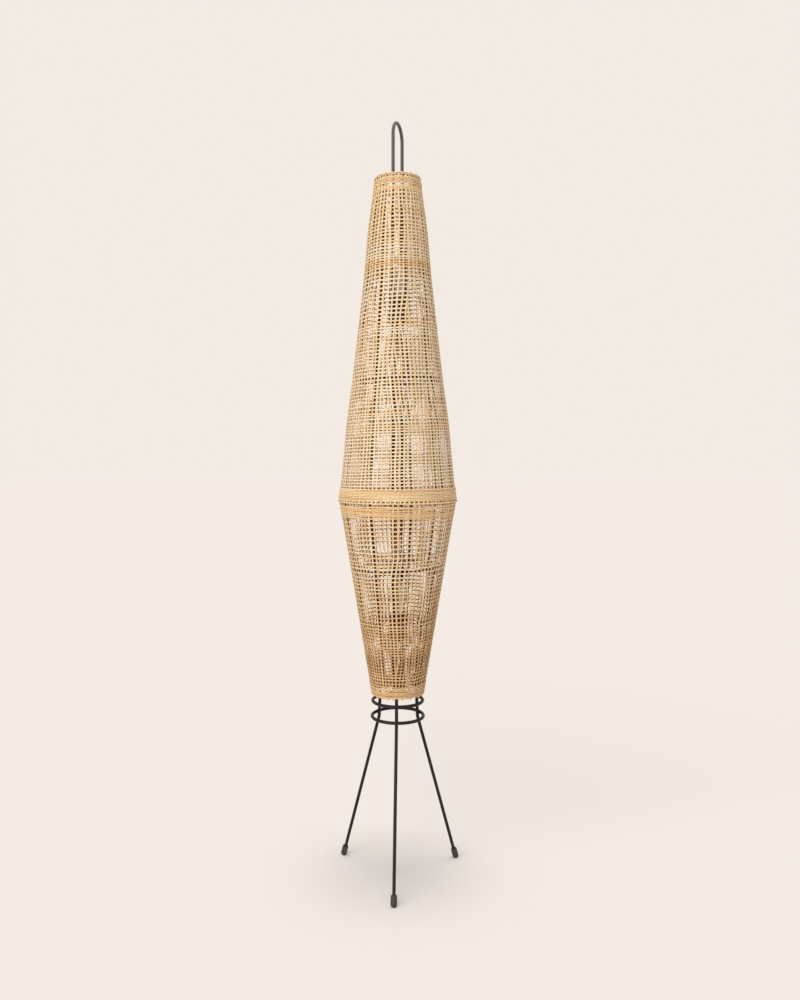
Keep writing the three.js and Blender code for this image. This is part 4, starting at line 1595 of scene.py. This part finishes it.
def bulb_glass_at(base):
    """A small globe on a neck."""
    centre = 102.1
    globe = [(r / mm, z / mm) for r, z in arc(0, centre * mm, 22.5 * mm, -35, 90, 28)]
    neck = [(12.4, 62.6), (12.4, 64.5), (12.7, 68), (13.6, 74), (15.6, 82)]
    return turned("bulb_glass", up(base, [(0, 62.6), *neck, *globe[:-1], (0, centre + 22.5)]), 64, 60)


bulb_parts = [
    ("bulb_cap", bulb_cap_at(lower_z), "nickel", nickel),
    ("bulb_glass", bulb_glass_at(lower_z), "frosted_glass", frosted),
]
settle_pairs(bulb_parts, "lower_bulb", "upper_bulb")
print("bulb:", triangles([piece for _, piece, _, _ in bulb_parts]), "triangles")

# %% [markdown]
# ## Leads
# Two leads run from the junction box to the lampholders, each in a brown textile braid. They are
# bent like the rods, and three bands hold the long one to the hairpin. The braid's threads cross
# on the diagonal round the lead, so each mesh gets the length along it and the sine and cosine of
# the angle round it, which have no seam.

# %% Textile braid
braid_pitch = 5.2 * mm


def braid_material():
    material, tree, shader = new_material("brown_textile_braid", Sheen_Weight=0.3, Sheen_Roughness=0.5)
    turn = sums(tree, "ARCTAN2", attribute(tree, "turn_sin"), attribute(tree, "turn_cos"))
    climb = sums(tree, "MULTIPLY", attribute(tree, "along"), 2 * math.pi / braid_pitch)
    threads = []
    for hand in (1, -1):
        phase = sums(tree, "ADD", climb, sums(tree, "MULTIPLY", turn, 4.0 * hand))
        threads.append(spread(tree, sums(tree, "SINE", phase, 0), 0, 1, -1, 1))
    weave = sums(tree, "MAXIMUM", *threads)
    wear_and_sheen = noise(tree, object_place(tree), 45, 4)
    brown_thread = mix(tree, weave, (0.10, 0.040, 0.011), (0.44, 0.20, 0.055))
    colour = mix(tree, spread(tree, wear_and_sheen, -0.3, 0.8), brown_thread, (0.48, 0.25, 0.085))
    rough = spread(tree, weave, 0.95, 0.75)
    link_finish(tree, shader, colour, rough, bump(tree, weave, 0.5, 0.0003))
    return material


braid = braid_material()
print("braid:", len(braid.node_tree.nodes), "nodes")

# %% Length and turn along a lead
def path_stations(corners, bend, steps=12):
    """Points along the middle of a bent rod."""
    stations = [corners[0]]
    for before, corner, after in zip(corners, corners[1:], corners[2:]):
        arriving = (corner - before).normalized()
        leaving = (after - corner).normalized()
        angle = arriving.angle(leaving)
        start = corner - arriving * bend * math.tan(angle / 2)
        turn_axis = arriving.cross(leaving).normalized()
        centre = start + turn_axis.cross(arriving) * bend
        for k in range(steps + 1):
            stations.append(centre + Matrix.Rotation(angle * k / steps, 3, turn_axis) @ (start - centre))
    return [*stations, corners[-1]]


def wrap_attributes(piece, stations):
    """Writes the length along the lead and the turn round it to each point."""
    points = np.array([tuple(vertex.co) for vertex in piece.data.vertices])
    line = np.array([tuple(station) for station in stations])
    starts, runs = line[:-1], np.diff(line, axis=0)
    lengths = np.linalg.norm(runs, axis=1)
    before = np.concatenate([[0], np.cumsum(lengths)])[:-1]
    share = np.einsum("psc,sc->ps", points[:, None] - starts[None], runs) / lengths**2
    nearest = starts[None] + np.clip(share, 0, 1)[..., None] * runs[None]
    away = np.linalg.norm(points[:, None] - nearest, axis=2)
    best = away.argmin(axis=1)
    rows = np.arange(len(points))
    along = before[best] + np.clip(share[rows, best], 0, 1) * lengths[best]
    off = points - nearest[rows, best]
    size = np.maximum(np.hypot(off[:, 0], off[:, 1]), 1e-6)
    write_attributes(piece.data, along=along, turn_sin=off[:, 0] / size, turn_cos=off[:, 1] / size)


# %% Leads
lead_r = 2.75 * mm
lead_bend = 25 * mm
lead_z = bottom_of("lower_lead")
stub = 8 * mm
sway = 52 * mm
rod_side = 6.55 * mm
ends = {name: height - 6.3 * mm for name, height in holders.items()}
routes = {
    "lower": [
        beside_axis(-lead_aside, 0, lead_z),
        beside_axis(-lead_aside, 0, lead_z + stub),
        beside_axis(0, 0, ends["lower"] - stub),
        beside_axis(0, 0, ends["lower"]),
    ],
    "upper": [
        beside_axis(lead_aside, 0, lead_z),
        beside_axis(lead_aside, 0, lead_z + stub),
        beside_axis(rod_side, hairpin_r, lead_z + sway),
        beside_axis(rod_side, hairpin_r, ends["upper"] - sway),
        beside_axis(0, 0, ends["upper"] - stub),
        beside_axis(0, 0, ends["upper"]),
    ],
}
for name, corners in routes.items():
    lead = bent_rod(f"{name}_braided_lead", corners, lead_r, lead_bend, 16, 12)
    stations = path_stations(corners, lead_bend)
    wrap_attributes(lead, stations)
    settle(lead, f"{name}_braided_lead", "stand", braid, [f"{name}_lead"])
    length = sum((after - before).length for before, after in zip(stations, stations[1:]))
    print(name, "lead:", round(length, 3), "m")


# %% Clips
def clip_at(bottom):
    """A band round the rod and the lead: an open tube pulled long, with its wall thickened inwards."""
    clear_selection()
    bpy.ops.mesh.primitive_cylinder_add(
        vertices=32, radius=5 * mm, depth=5 * mm, end_fill_type="NOTHING",
        location=(axis.x, axis.y - hairpin_r, bottom + 2.5 * mm), rotation=(0, 0, math.pi / 32),
    )
    clip = apply_place(bpy.context.object)
    edit_all(clip)
    bpy.ops.mesh.select_all(action="DESELECT")
    bpy.ops.object.mode_set(mode="OBJECT")
    for vertex in clip.data.vertices:
        vertex.select = vertex.co.x > axis.x
    bpy.ops.object.mode_set(mode="EDIT")
    bpy.ops.transform.translate(value=(rod_side, 0, 0))
    bpy.ops.object.mode_set(mode="OBJECT")
    apply_modifier(clip, "SOLIDIFY", thickness=1.2 * mm, offset=-1)
    bevel_edges(clip, 0.3 * mm, 60)
    turn_about_axis(clip, hairpin_turn)
    return close_shell(clip, 40, False)


for k in (1, 2, 3):
    clip = clip_at(bottom_of(f"lead_clip_{k}"))
    settle(clip, f"lead_band_{k}", "stand", phenolic, [f"lead_clip_{k}"])
print("leads end", {name: round(end, 3) for name, end in ends.items()})
